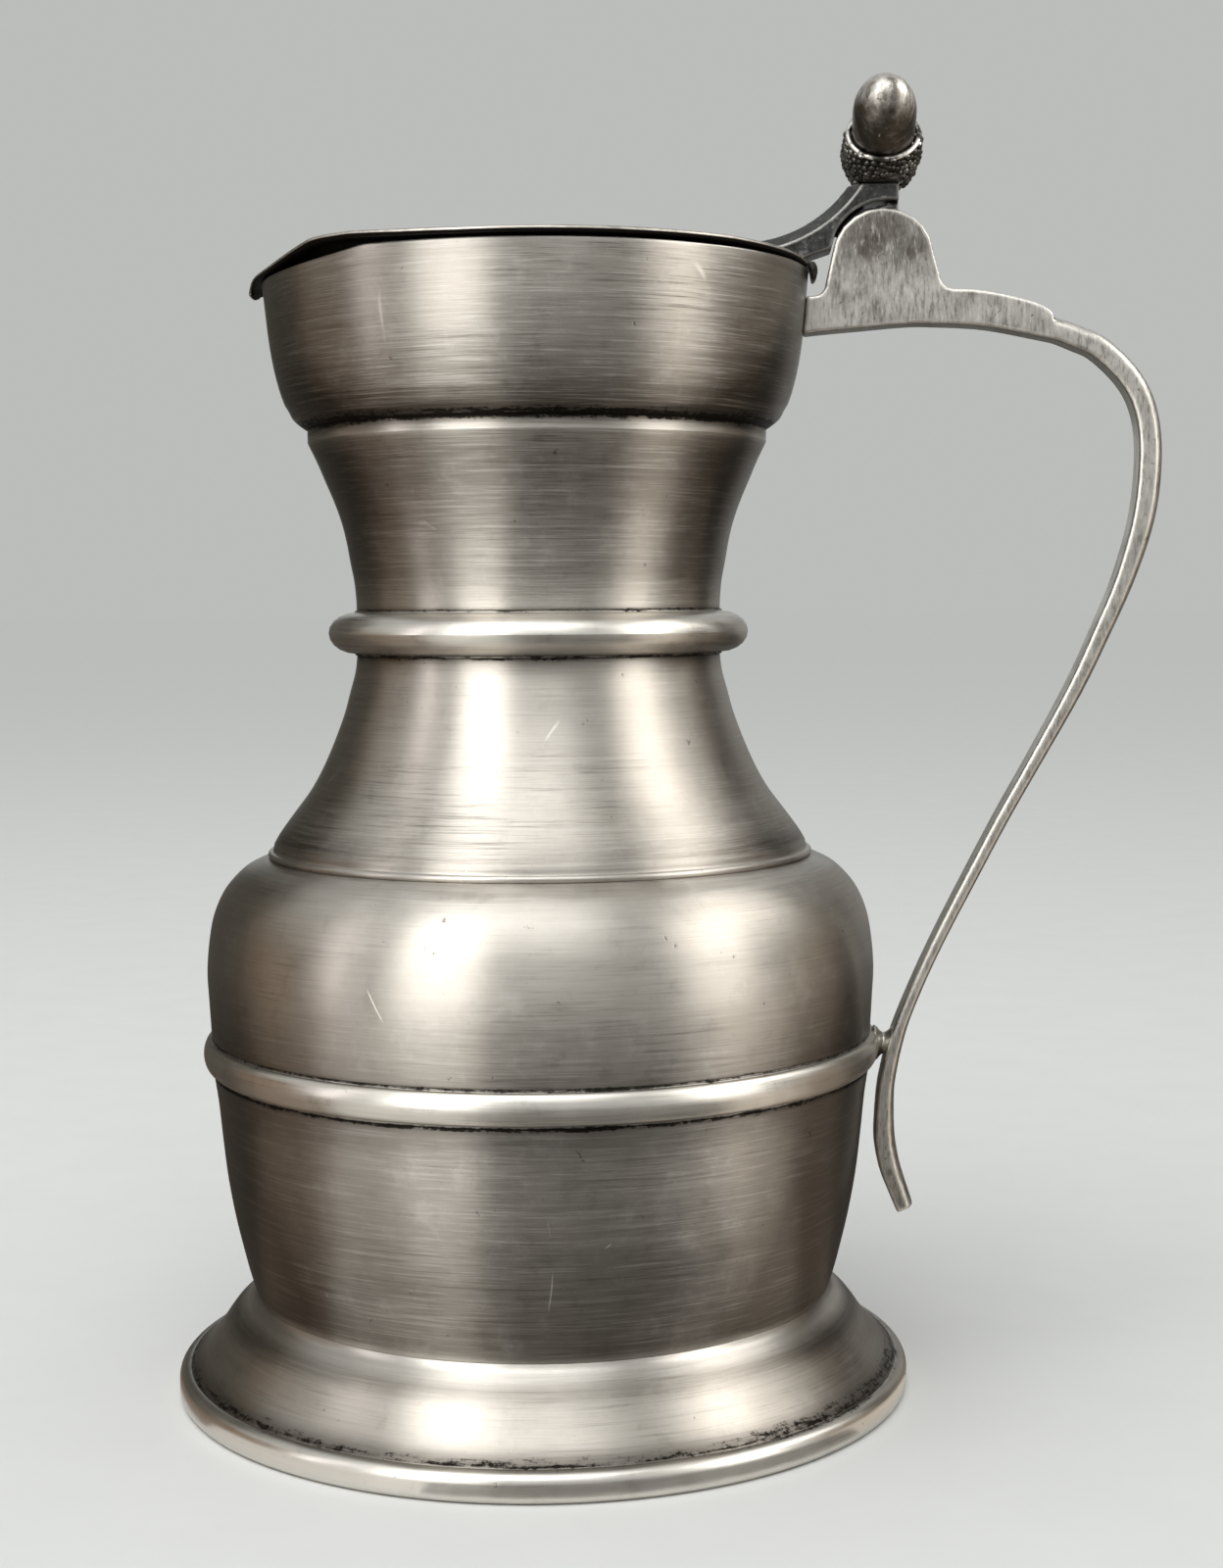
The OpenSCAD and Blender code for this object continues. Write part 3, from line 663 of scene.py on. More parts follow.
def acorn_cup(side, name, finish, tree, sizes):
    """One acorn cup: a turned shell cut flat in the middle and below, set with scales."""
    middle_side = side * CUP_HALF_GAP * MM
    bm = spun(cup_outline(), False, CUP_SIDES, leaning(side))
    for place, normal in (((0, 0, SEAT * MM), (0, 0, -1)), ((0, middle_side, 0), (0, -side, 0))):
        bmesh.ops.bisect_plane(bm, geom=bm.verts[:] + bm.edges[:] + bm.faces[:], plane_co=place,
                               plane_no=normal, clear_outer=True, dist=1e-7)
        rim = [e for e in bm.edges if e.is_boundary]
        bmesh.ops.holes_fill(bm, edges=rim, sides=0)
    back = leaning(side).inverted()
    scaly = bm.faces.layers.bool.new("scaly")
    for f in bm.faces:
        middle = f.calc_center_median()
        local = back @ middle / MM
        out = Vector((local.x, local.y)).length
        off_cuts = min(abs(middle.y), middle.z - SEAT * MM) > SCALE_CLEARANCE * MM
        outside = out > BARE_FOOT * CUP_R * max(0, 1 + local.z / CUP_DEPTH)
        f[scaly] = off_cuts and outside and local.z < SCALES_TOP
    piece = new_piece(name, bm)
    modifier = piece.modifiers.new("scales", "NODES")
    modifier.node_group = tree
    modifier[sizes["Scale size"]] = SCALE_SIZE * MM
    modifier[sizes["Least distance"]] = SCALE_SPACING * MM
    modifier[sizes["Seed"]] = 11 if side < 0 else 23
    modifier[sizes["Finish"]] = finish
    finished(piece)
    for v in piece.data.vertices:
        v.co.z = max(v.co.z, SEAT * MM)
        v.co.y = max(v.co.y, middle_side) if side > 0 else min(v.co.y, middle_side)
    return piece


def peg():
    """The soldered peg between the band and the strap, flared by its solder."""
    x0, x1, z = PEG
    points = [(0, x0 - 0.9), (3.5, x0 - 0.9), (3.3, x0 - 0.1), (2.75, x0 + 0.35),
              (PEG_R, x0 + 0.9), (PEG_R - 0.1, (x0 + x1) / 2), (PEG_R + 0.05, x1 - 0.7),
              (2.7, x1 - 0.15), (3.1, x1 + 0.35), (3.1, x1 + 0.6), (0, x1 + 0.6)]
    place = Matrix.Translation((0, 0, z * MM)) @ Matrix.Rotation(math.pi / 2, 4, "Y")
    return new_piece("soldered_peg", spun(smooth_line(points, 3), False, PEG_SIDES, place))


def pin():
    """The hinge pin, filed flush with the ears."""
    end = HALF_HINGE + 0.01
    side = PIN_R - 0.02
    points = [(0, -end), (side - 0.2, -end), (side - 0.06, -end), (side, -end + 0.04),
              (side, 0), (side, end - 0.04), (side - 0.06, end), (side - 0.2, end), (0, end)]
    place = Matrix.Translation(Vector((PIN[0], 0, PIN[1])) * MM) @ Matrix.Rotation(math.pi / 2, 4, "X")
    return new_piece("filed_hinge_pin", spun(points, False, PIN_SIDES, place))


class Value:
    """A shader socket with Python's arithmetic on its number."""

    def __init__(self, finish, socket):
        self.finish = finish
        self.socket = socket

    def maths(self, operation, *terms):
        return self.finish.add("ShaderNodeMath", {"operation": operation}, dict(enumerate(terms)))

    def __add__(self, other):
        return self.maths("ADD", self, other)

    __radd__ = __add__

    def __sub__(self, other):
        return self.maths("SUBTRACT", self, other)

    def __rsub__(self, other):
        return self.maths("SUBTRACT", other, self)

    def __mul__(self, other):
        return self.maths("MULTIPLY", self, other)

    __rmul__ = __mul__

    def __truediv__(self, other):
        return self.maths("DIVIDE", self, other)

    def __pow__(self, other):
        return self.maths("POWER", self, other)

    def size(self):
        """The value without its sign."""
        return self.maths("ABSOLUTE", self)

    def larger(self, other):
        """The larger of the two."""
        return self.maths("MAXIMUM", self, other)

    def kept(self, low=0.0, high=1.0):
        """The value held between two limits."""
        return self.maths("MINIMUM", self, high).larger(low)

    def rise(self, low, high):
        """0 below the first limit, 1 above the second, and a smooth step between them."""
        settings = {"interpolation_type": "SMOOTHSTEP"}
        return self.finish.add("ShaderNodeMapRange", settings, {0: self, 1: low, 2: high})


class Finish:
    """One procedural material, built from expressions on Value."""

    def __init__(self, name):
        self.material = bpy.data.materials.new(name)
        self.material.use_nodes = True
        self.nodes = self.material.node_tree.nodes
        self.links = self.material.node_tree.links
        self.nodes.clear()
        self.place = self.add("ShaderNodeTexCoord", out="Object")
        self.x, self.y, self.z = [self.add("ShaderNodeSeparateXYZ", {}, {0: self.place}, out=k)
                                  for k in range(3)]

    def add(self, kind, settings=None, inputs=None, out=0):
        """Makes a node, sets it up, joins or fills its inputs and returns one output."""
        node = self.nodes.new(kind)
        for key, value in (settings or {}).items():
            if key == "stops":
                ramp = node.color_ramp
                while len(ramp.elements) < len(value):
                    ramp.elements.new(1.0)
                for element, (place, shade) in zip(ramp.elements, value):
                    element.position = place
                    element.color = (shade, shade, shade, 1.0)
            else:
                setattr(node, key, value)
        for key, value in (inputs or {}).items():
            if isinstance(value, Value):
                self.links.new(value.socket, node.inputs[key])
            else:
                node.inputs[key].default_value = value
        return Value(self, node.outputs[out]) if len(node.outputs) else node

    def stretch(self, x, y, z):
        """The object's own coordinates, stretched: a pattern repeats that often in a metre."""
        return self.add("ShaderNodeVectorMath", {"operation": "MULTIPLY"}, {0: self.place, 1: (x, y, z)})

    def grain(self, where, scale=1.0, detail=2.0, rough=0.5, warp=0.0):
        """Noise from 0 to 1 at those coordinates."""
        inputs = {"Vector": where, "Scale": scale, "Detail": detail, "Roughness": rough,
                  "Distortion": warp}
        return self.add("ShaderNodeTexNoise", {}, inputs)

    def mix(self, share, first, second):
        """A colour between two others."""
        settings = {"data_type": "RGBA"}
        return self.add("ShaderNodeMix", settings, {0: share, 6: first, 7: second}, out=2)

    def shade(self, colour, rough, height, bump=0.4, reach=0.0002, brushed=0.0):
        """Ends the material in a metal with that colour, roughness and relief."""
        normal = self.add("ShaderNodeBump", {}, {"Strength": bump, "Distance": reach, "Height": height})
        inputs = {"Base Color": colour, "Roughness": rough, "Metallic": 1.0, "Normal": normal,
                  "Anisotropic": brushed, "Anisotropic Rotation": 0.25}
        metal = self.add("ShaderNodeBsdfPrincipled", {}, inputs)
        self.add("ShaderNodeOutputMaterial", {}, {0: metal})
        return self.material


# Tones of the metal, of what darkens it and of what lightens it: tarnish, patina and wear, and painted
# shade and painted highlights
PALE_PEWTER_AND_HIGHLIGHT = (0.78, 0.755, 0.71, 1.0)
TARNISH_AND_SHADE = (0.078, 0.066, 0.053, 1.0)
PATINA_AND_SHADE = (0.014, 0.012, 0.010, 1.0)
TURNED_TONE = (0.54, 0.505, 0.455, 1.0)
BRIGHT_TONE = (0.66, 0.63, 0.575, 1.0)
CAST_TONE = (0.58, 0.56, 0.515, 1.0)
DARK_TONE = (0.075, 0.075, 0.073, 1.0)
# The lug's tone is painted shade: it is the lid's own pewter, darkened where it hangs behind the lid
LUG_SHADE_TONE = (0.05, 0.047, 0.042, 1.0)
LID_TONE = (0.52, 0.49, 0.44, 1.0)
LID_TARNISH = (0.2, 0.185, 0.16, 1.0)
SCALE_DARK = (0.045, 0.041, 0.036, 1.0)
SCALE_BROWN = (0.16, 0.15, 0.135, 1.0)
NUT_BROWN = (0.085, 0.074, 0.062, 1.0)
NUT_PALE = (0.56, 0.53, 0.485, 1.0)

# Rows of height in millimetres and amount, 32 at most: the patina in the crevices between
# the rings with painted shade under the mouth collar, the wear on their arrises with painted
# highlights there, the tarnish of their walls with painted shade on the lower drum and under
# the collar, and the lathe's lines
GRIME_AND_SHADE_STOPS = [(0, 0.35), (0.9, 0.05), (5.2, 0.0), (5.8, 0.8), (6.3, 0.56), (7.2, 0.42), (7.9, 0.28),
               (10.0, 0.0), (64.6, 0.05), (65.6, 0.5), (66.1, 0.86), (66.6, 0.1), (72.5, 0.05),
               (73, 0.66), (73.5, 0.3), (74.6, 0.0), (108.1, 0.05), (108.9, 0.5), (109.5, 0.0),
               (111.2, 0.42), (112.2, 0.05), (148.4, 0.1), (149.5, 0.8), (150.2, 0.15), (157.9, 0.1),
               (158.5, 0.68), (159.1, 0.1), (193.3, 0.15), (193.9, 0.7), (194.6, 0.95), (195.6, 0.5),
               (197, 0.0)]
WEAR_AND_HIGHLIGHT_STOPS = [(0, 0.1), (1.5, 0.5), (5, 0.6), (5.8, 0), (17.2, 0), (18.3, 0.7), (20, 0.75), (21.8, 0),
              (68, 0.2), (70, 0.6), (72, 0.3), (73, 0), (109.3, 0.2), (110.2, 0.6), (111, 0),
              (151, 0.1), (155, 0.55), (157, 0.1), (191.4, 0), (191.9, 0.55), (192.4, 0.1), (194, 0),
              (224.2, 0), (225.3, 0.7)]
TARNISH_AND_SHADE_STOPS = [(0, 0.0), (7, 0.15), (10, 0.0), (13.5, 0.0), (16.3, 0.4), (18.6, 0.05), (22.5, 0.72),
                 (40, 0.64), (58, 0.5), (65.5, 0.75), (66.5, 0.1), (72.5, 0.1), (74, 0.45), (80, 0.28),
                 (90, 0.05), (111.5, 0.08), (112.5, 0.4), (117, 0.1), (146, 0.0), (149.3, 0.4),
                 (150.5, 0.25), (154, 0.0), (158, 0.1), (159.5, 0.12), (166, 0.42), (188, 0.55),
                 (191.5, 0.25), (192.2, 0.1), (195, 0.9), (199, 0.6), (208, 0.34), (222, 0.24)]
LINE_STOPS = [(0, 0.3), (7, 0.4), (19, 0.5), (22, 0.6), (64, 0.6), (74, 0.5), (100, 0.35), (111, 0.7),
              (113, 1.3), (120, 0.8), (140, 0.6), (160, 0.75), (190, 0.9), (195, 1.2), (225, 1.0)]


def by_height(finish, rows):
    """A value that follows the height on the body, from rows of millimetres and value."""
    top = LIP * MM
    stops = [(height * MM / top, value) for height, value in rows]
    return finish.add("ShaderNodeValToRGB", {"stops": stops}, {0: finish.z / top})


def hairlines(finish, scale, fine, seed, stretch=(1.0, 1.0, 1.0)):
    """Short fine scratches: 1 on a scratch."""
    moved = finish.add("ShaderNodeVectorMath", {"operation": "ADD"},
                       {0: finish.stretch(*stretch), 1: (seed * 0.37, seed * 0.11, seed * 0.23)})
    line = finish.grain(moved, scale, 0.0)
    gate = finish.grain(moved, scale * 5.5, 1.0).rise(0.66, 0.72)
    return (1 - (line - 0.5).size().rise(0.0, fine)) * gate


def turned_pewter(name, tone, rough, brushed, height_darkening=1.0):
    """Pewter finished on the lathe, with fine rings, patina in the crevices and wear, painted highlights
    on its arrises, and painted shade by height and towards its sides.
    """
    f = Finish(name)
    turning = f.add("ShaderNodeUVMap", {"uv_map": "turning"})
    along = f.add("ShaderNodeSeparateXYZ", {}, {0: turning}, out=1)

    def rings(around, across, detail=2.0, rough=0.55):
        where = f.add("ShaderNodeCombineXYZ", {}, {0: f.x * around, 1: f.y * around, 2: along * across})
        return f.grain(where, 1.0, detail, rough)

    fine = rings(95, 4200, 3.0, 0.65)
    coarse = rings(42, 1700, 2.0, 0.6)
    broad = rings(13, 480, 3.0, 0.6)
    cloud = f.grain(f.place, 24.0, 4.0, 0.6)
    mottle = f.grain(f.place, 130.0, 5.0, 0.7)
    spots = f.grain(f.place, 380.0, 3.0, 0.6).rise(0.7, 0.77)
    ruff = rings(150, 1000, 5.0, 0.7)
    patch = f.grain(f.stretch(20, 20, 55), 1.0, 3.0, 0.6).rise(0.4, 0.66)
    rubbed = f.grain(f.place, 19.0, 2.0).rise(0.52, 0.6)
    long_ones = hairlines(f, 11.0, 0.0016, 2)
    upright_ones = hairlines(f, 16.0, 0.0018, 5, (1.0, 1.0, 0.2))
    short_ones = hairlines(f, 34.0, 0.0045, 9) * rubbed
    scratch = long_ones.larger(upright_ones).larger(short_ones)
    # Patina in the crevices, and painted shade under the mouth collar
    crevice = by_height(f, GRIME_AND_SHADE_STOPS)
    # Wear on the arrises, which also paints their highlights
    wear_and_highlight = by_height(f, WEAR_AND_HIGHLIGHT_STOPS)
    # Painted shade towards the sides seen from the front, added to the tarnish by height, which holds
    # painted shade of its own on the lower drum and under the collar
    off_front = f.x.size() / (f.x * f.x + f.y * f.y) ** 0.5
    side = off_front.rise(0.55, 1.0)
    darkening = by_height(f, TARNISH_AND_SHADE_STOPS) * (1 + side * 0.7) + (cloud - 0.5) * 0.55
    darkening = darkening * height_darkening + side * 0.24
    crumbs = f.grain(f.place, 900.0, 3.0, 0.7)
    rough_edge = (ruff - 0.5) * 1.1 + (crumbs - 0.5) * 0.7 + (cloud - 0.5) * 0.5 + (broad - 0.5) * 0.6
    grime_and_shade = (crevice + rough_edge * crevice.rise(0.02, 0.3)).rise(0.46, 0.72)
    # Painted shade in a soft band along the crevices
    painted_crevice_shade = crevice.rise(0.1, 0.6) * (0.45 + ruff * 0.5)
    lined = by_height(f, LINE_STOPS)
    streak = fine * 0.5 + coarse * 0.32 + broad * 0.18
    dark_lines = 1 - streak.rise(0.37, 0.5)
    light_lines = streak.rise(0.5, 0.62)
    colour = f.mix(darkening.kept(0, 0.92), tone, TARNISH_AND_SHADE)
    colour = f.mix(dark_lines * (0.22 + patch * 0.55) * lined, colour, TARNISH_AND_SHADE)
    colour = f.mix(light_lines * (0.4 - 0.2 * darkening.kept(0, 1)) * lined, colour, PALE_PEWTER_AND_HIGHLIGHT)
    colour = f.mix(mottle.rise(0.52, 0.72) * (0.22 - 0.18 * darkening.kept(0, 1)), colour, PALE_PEWTER_AND_HIGHLIGHT)
    colour = f.mix((1 - mottle.rise(0.3, 0.46)) * 0.16, colour, TARNISH_AND_SHADE)
    colour = f.mix(wear_and_highlight * (0.35 + ruff * 0.6), colour, PALE_PEWTER_AND_HIGHLIGHT)
    colour = f.mix(painted_crevice_shade, colour, TARNISH_AND_SHADE)
    colour = f.mix(spots * 0.5, colour, PATINA_AND_SHADE)
    colour = f.mix(scratch * 0.6, colour, PALE_PEWTER_AND_HIGHLIGHT)
    colour = f.mix(grime_and_shade * 0.95, colour, PATINA_AND_SHADE)
    roughness = rough + (streak - 0.5) * 0.45 * lined + (mottle - 0.5) * 0.22
    roughness = roughness + grime_and_shade * 0.25 - wear_and_highlight * 0.06
    height = streak * lined + mottle * 0.25 - scratch * 0.4 - spots * 0.3 - grime_and_shade * 0.2
    return f.shade(colour, roughness.kept(0.16, 0.9), height, reach=0.00014, brushed=brushed)


def cast_pewter(name, tone, rough, marks_way, dark=TARNISH_AND_SHADE, edges=0.7, under=False, dark_from=0.0):
    """A filed casting: short brush marks across it, rubbed bright on its arrises, which also paints
    their highlights.

    With a height in millimetres for dark_from, it turns darker from there upwards.
    """
    f = Finish(name)
    x, y, z = marks_way
    marks = f.grain(f.stretch(x, y, z), 1.0, 3.0, 0.62)
    wide = f.grain(f.stretch(x * 0.4, y * 0.4, z * 0.5), 1.0, 2.0, 0.5)
    cloud = f.grain(f.place, 90.0, 5.0, 0.65)
    spots = f.grain(f.place, 600.0, 2.0).rise(0.7, 0.78)
    scratch = hairlines(f, 26.0, 0.004, 3)
    streak = marks * 0.6 + wide * 0.4
    darkening = cloud.rise(0.4, 0.72) * 0.44
    if dark_from:
        upper = (f.z / MM + (cloud - 0.5) * 22).rise(dark_from, dark_from + 12)
        darkening = (darkening + upper * 0.54).kept()
    colour = f.mix(darkening, tone, dark)
    colour = f.mix((1 - streak.rise(0.38, 0.5)) * 0.42, colour, dark)
    colour = f.mix(streak.rise(0.52, 0.66) * 0.5 * edges, colour, PALE_PEWTER_AND_HIGHLIGHT)
    colour = f.mix(scratch * 0.5, colour, PALE_PEWTER_AND_HIGHLIGHT)
    colour = f.mix(spots * 0.5, colour, PATINA_AND_SHADE)
    roughness = rough + (streak - 0.5) * 0.4 + (cloud - 0.5) * 0.25
    if edges:
        bend = f.add("ShaderNodeAttribute", {"attribute_name": "arris"}, {}, out="Fac")
        # Pale arrises: wear, and painted highlights on them
        edge = bend.rise(0.18, 0.7) * (0.7 + (cloud - 0.5) * 2.2).kept()
        hollow = 1 - bend.rise(-0.6, -0.15)
        colour = f.mix(edge * edges, colour, PALE_PEWTER_AND_HIGHLIGHT)
        colour = f.mix(hollow * 0.85, colour, PATINA_AND_SHADE)
        roughness = roughness + edge * 0.08 + hollow * 0.25
    # Painted shade under the lid, read from its "under" attribute
    if under:
        shade = f.add("ShaderNodeAttribute", {"attribute_name": "under"}, {}, out="Fac")
        colour = f.mix(shade.rise(0.35, 0.8), colour, PATINA_AND_SHADE)
        roughness = roughness + shade * 0.25
    height = streak * 0.6 + cloud * 0.5 - spots * 0.4 - scratch * 0.3
    return f.shade(colour, roughness.kept(0.16, 0.92), height, reach=0.00015)


def scaly_pewter(name):
    """The acorn cups: dark and mottled, with pale patches as painted glints on the scales, and their
    lips pale in places, as rubbed wear and a painted highlight.
    """
    f = Finish(name)
    patch = f.grain(f.place, 210.0, 3.0, 0.6)
    pebble = f.grain(f.place, 700.0, 2.0)
    off_middle = f.y.size() / MM - ACORN[1]
    height = off_middle * math.sin(ACORN_TILT) + (f.z / MM - ACORN[2]) * math.cos(ACORN_TILT)
    # The lip's pale band: wear, and a painted highlight
    lip = height.rise(2.35, 2.75) * patch.rise(0.42, 0.52)
    colour = f.mix(pebble.rise(0.45, 0.65) * 0.6, SCALE_DARK, SCALE_BROWN)
    # Pale patches: painted glints on the scales
    colour = f.mix(patch.rise(0.5, 0.64) * 0.22, colour, PALE_PEWTER_AND_HIGHLIGHT)
    colour = f.mix(lip * 0.9, colour, PALE_PEWTER_AND_HIGHLIGHT)
    roughness = 0.3 + (pebble - 0.5) * 0.2 + lip * 0.04
    return f.shade(colour, roughness.kept(0.16, 0.6), pebble, bump=0.35)


def acorn_pewter(name):
    """The acorn nuts: pale above, brown and dark towards their cups."""
    f = Finish(name)
    blotch = f.grain(f.place, 160.0, 4.0, 0.62, 0.4)
    strokes = f.grain(f.stretch(420, 900, 260), 1.0, 3.0, 0.6)
    fine = f.grain(f.place, 1100.0, 2.0)
    tall = (f.z / MM + (blotch - 0.5) * 10).rise(251.0, 259.5)
    scuff = hairlines(f, 60.0, 0.012, 7)
    colour = f.mix(tall, NUT_BROWN, NUT_PALE)
    colour = f.mix(strokes.rise(0.5, 0.66) * 0.55 * (0.2 + tall), colour, PALE_PEWTER_AND_HIGHLIGHT)
    colour = f.mix(scuff * 0.8, colour, PALE_PEWTER_AND_HIGHLIGHT)
    rub = f.grain(f.place, 330.0, 3.0, 0.7).rise(0.55, 0.64) * (f.z / MM).rise(255.0, 258.0)
    colour = f.mix(rub * 0.75, colour, PALE_PEWTER_AND_HIGHLIGHT)
    colour = f.mix((1 - strokes.rise(0.34, 0.48)) * 0.6, colour, TARNISH_AND_SHADE)
    colour = f.mix(fine.rise(0.62, 0.72) * 0.35, colour, PATINA_AND_SHADE)
    roughness = 0.36 + (strokes - 0.5) * 0.4 + (blotch - 0.5) * 0.3
    height = strokes * 0.6 + blotch * 0.7 - fine.rise(0.62, 0.72) * 0.2
    return f.shade(colour, roughness.kept(0.2, 0.8), height, bump=0.5, reach=0.0003)


# Fineness of the castings' brush marks along X, Y and Z, and where the ears turn dark
HANDLE_MARKS = (2600, 2600, 520)
LID_MARKS = (60, 2200, 2200)
THUMBPIECE_MARKS = (1100, 500, 1100)
LUG_MARKS = (500, 500, 500)
DARK_EARS = 219.0

body_pewter = turned_pewter("turned_pewter", TURNED_TONE, 0.4, 0.85)
bead_pewter = turned_pewter("rubbed_bead_pewter", BRIGHT_TONE, 0.35, 0.5, 0.3)
dull_pewter = turned_pewter("dull_base_pewter", DARK_TONE, 0.5, 0.2)
handle_pewter = cast_pewter("filed_handle_pewter", CAST_TONE, 0.36, HANDLE_MARKS,
                            dark_from=DARK_EARS)
pin_pewter = cast_pewter("filed_pin_pewter", CAST_TONE, 0.36, HANDLE_MARKS, edges=0.0,
                         dark_from=DARK_EARS)
# The lid takes painted shade on its underside from its "under" attribute
lid_pewter = cast_pewter("rubbed_lid_pewter", LID_TONE, 0.35, LID_MARKS, LID_TARNISH, under=True)
dark_pewter = cast_pewter("dark_cast_pewter", DARK_TONE, 0.34, THUMBPIECE_MARKS, PATINA_AND_SHADE, 0.3)
# The lug, darkened by painted shade
lug_pewter = cast_pewter("shaded_lug_pewter", LUG_SHADE_TONE, 0.42, LUG_MARKS, PATINA_AND_SHADE, 0.0)
cup_pewter = scaly_pewter("scaly_cup_pewter")
nut_pewter = acorn_pewter("pale_topped_nut_pewter")

BEAD_FINISH = (bead_pewter, "pewter_bead")
RING_FINISH = {"foot_bead": BEAD_FINISH, "belly_band": BEAD_FINISH, "neck_ring": BEAD_FINISH,
               "base_disc": (dull_pewter, "pewter_base")}


def dress(piece, finish, slot, body, *nodes):
    """Gives a piece its finish and lets it stand for its CAD nodes."""
    piece.data.materials.clear()
    piece.data.materials.append(finish)
    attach(piece, body)
    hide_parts(*nodes)


for ring in BODY_RINGS:
    finish, slot = RING_FINISH.get(ring, (body_pewter, "pewter_body"))
    dress(turned_ring(ring), finish, slot, "body", ring)

# The pin's copy fills the holes of the ears, as its filed ends do
handle = softened_casting(["hinge_block", "handle_strap", "hinge_pin"], "filed_handle", *HANDLE_SKIN)
dress(handle, handle_pewter, "pewter_handle", "body", "hinge_block", "handle_strap")
dress(peg(), handle_pewter, "pewter_handle", "body", "handle_strut")
dress(pin(), pin_pewter, "pewter_pin", "body", "hinge_pin")

dress(lid_sheet(), lid_pewter, "pewter_lid", "lid", "lid_plate")
dress(lid_lug(), lug_pewter, "pewter_lid", "lid", "lid_plate")
tang = softened_casting(["thumbpiece"], "cast_thumbpiece", *THUMBPIECE_SKIN)
dress(tang, dark_pewter, "pewter_dark", "lid", "thumbpiece")
tree, sizes = scale_tree()
for side, where in ((-1, "front"), (1, "rear")):
    cup = acorn_cup(side, "scaly_acorn_cup_" + where, cup_pewter, tree, sizes)
    dress(cup, cup_pewter, "pewter_dark", "lid", "acorn_cup_" + where)
    nut = acorn_nut(side, "smooth_acorn_nut_" + where)
    dress(nut, nut_pewter, "pewter_nut", "lid", "acorn_nut_" + where)

# Floor
FLOOR_WIDTH = 60
FLOOR_TONES = ((0.80, 0.805, 0.795, 1.0), (0.85, 0.855, 0.845, 1.0))
bpy.ops.mesh.primitive_plane_add(size=FLOOR_WIDTH)
floor = bpy.context.object
floor.name = "floor"
stone = Finish("pale_floor")
pale = stone.mix(stone.grain(stone.place, 40.0, 5.0, 0.6), *FLOOR_TONES)
surface = stone.add("ShaderNodeBsdfDiffuse", {}, {"Color": pale})
stone.add("ShaderNodeOutputMaterial", {}, {0: surface})
floor.data.materials.append(stone.material)

# World: an even pale room, and a backdrop of the floor's own far tone for the camera
ROOM = (0.60, 0.61, 0.60, 1.0)
BACKDROP = (0.50, 0.51, 0.498, 1.0)
world = bpy.data.worlds.new("pale_room")
bpy.context.scene.world = world
world.use_nodes = True
air = world.node_tree.nodes
path = air.new("ShaderNodeLightPath")
choice = air.new("ShaderNodeMix")
choice.data_type = "RGBA"
choice.inputs[6].default_value = ROOM
choice.inputs[7].default_value = BACKDROP
world.node_tree.links.new(path.outputs["Is Camera Ray"], choice.inputs[0])
world.node_tree.links.new(choice.outputs[2], air["Background"].inputs[0])
air["Background"].inputs[1].default_value = 1.0


def bearing(azimuth, distance, height):
    """A place at that bearing from the view's direction, in degrees, round the flagon."""
    a = math.radians(azimuth)
    return Vector((distance * math.sin(a), -distance * math.cos(a), height))


def soft_light(name, size, radiance, place, toward):
    """A rectangular light of that radiance, facing a point. Places are in metres."""
    lamp = bpy.data.lights.new(name, "AREA")
    lamp.shape = "RECTANGLE"
    lamp.size, lamp.size_y = size
    lamp.energy = radiance * math.pi * lamp.size * lamp.size_y
    thing = placed(name, lamp)
    thing.location = place
    thing.rotation_euler = (Vector(toward) - thing.location).to_track_quat("-Z", "Y").to_euler()
    return thing


def window(name, azimuths, heights, radiance, colour, distance=1.3):
    """A tall soft light between two bearings and two heights, which only the metal sees."""
    width = 2 * distance * math.tan(math.radians(azimuths[1] - azimuths[0]) / 2)
    height = sum(heights) / 2
    place = bearing(sum(azimuths) / 2, distance, height)
    thing = soft_light(name, (width, heights[1] - heights[0]), radiance, place, (0, 0, height))
    thing.data.color = colour
    thing.visible_diffuse = False


def card(name, azimuths, near, far, colour, steps=8):
    """A glowing card that only the metal sees, between two bearings: a painted reflection.

    It runs from one (distance, height) to another: standing beside the flagon, or lying
    on the floor round it.
    """
    bm = bmesh.new()
    columns = []
    for k in range(steps + 1):
        azimuth = azimuths[0] + (azimuths[1] - azimuths[0]) * k / steps
        columns.append([bm.verts.new(bearing(azimuth, *at)) for at in (near, far)])
    for a, b in zip(columns, columns[1:]):
        bm.faces.new((a[0], b[0], b[1], a[1]))
    thing = placed(name, as_mesh(name, bm))
    thing.visible_camera = False
    thing.visible_diffuse = False
    thing.visible_shadow = False
    paint = Finish(name)
    glow = paint.add("ShaderNodeEmission", {}, {"Color": (*colour, 1.0), "Strength": 1.0})
    paint.add("ShaderNodeOutputMaterial", {}, {0: glow})
    thing.data.materials.append(paint.material)


def ceiling(name, place, size, radiance, on_metal=True, on_floor=True):
    """A wide soft light overhead, facing the flagon, seen by the metal, the floor or both."""
    thing = soft_light(name, size, radiance, place, (0, 0, 0.15))
    thing.visible_glossy = on_metal
    thing.visible_diffuse = on_floor


window("left_window", (-44, -16), (0.0, 1.6), 2.8, (1.0, 0.99, 0.96))
window("far_left_window", (-70, -64), (0.0, 1.3), 2.7, (1.0, 0.92, 0.92))
window("right_window", (54, 78), (0.05, 1.6), 2.2, (1.0, 0.965, 0.92))
window("high_right_window", (74, 116), (0.8, 2.0), 2.7, (1.0, 0.965, 0.92))
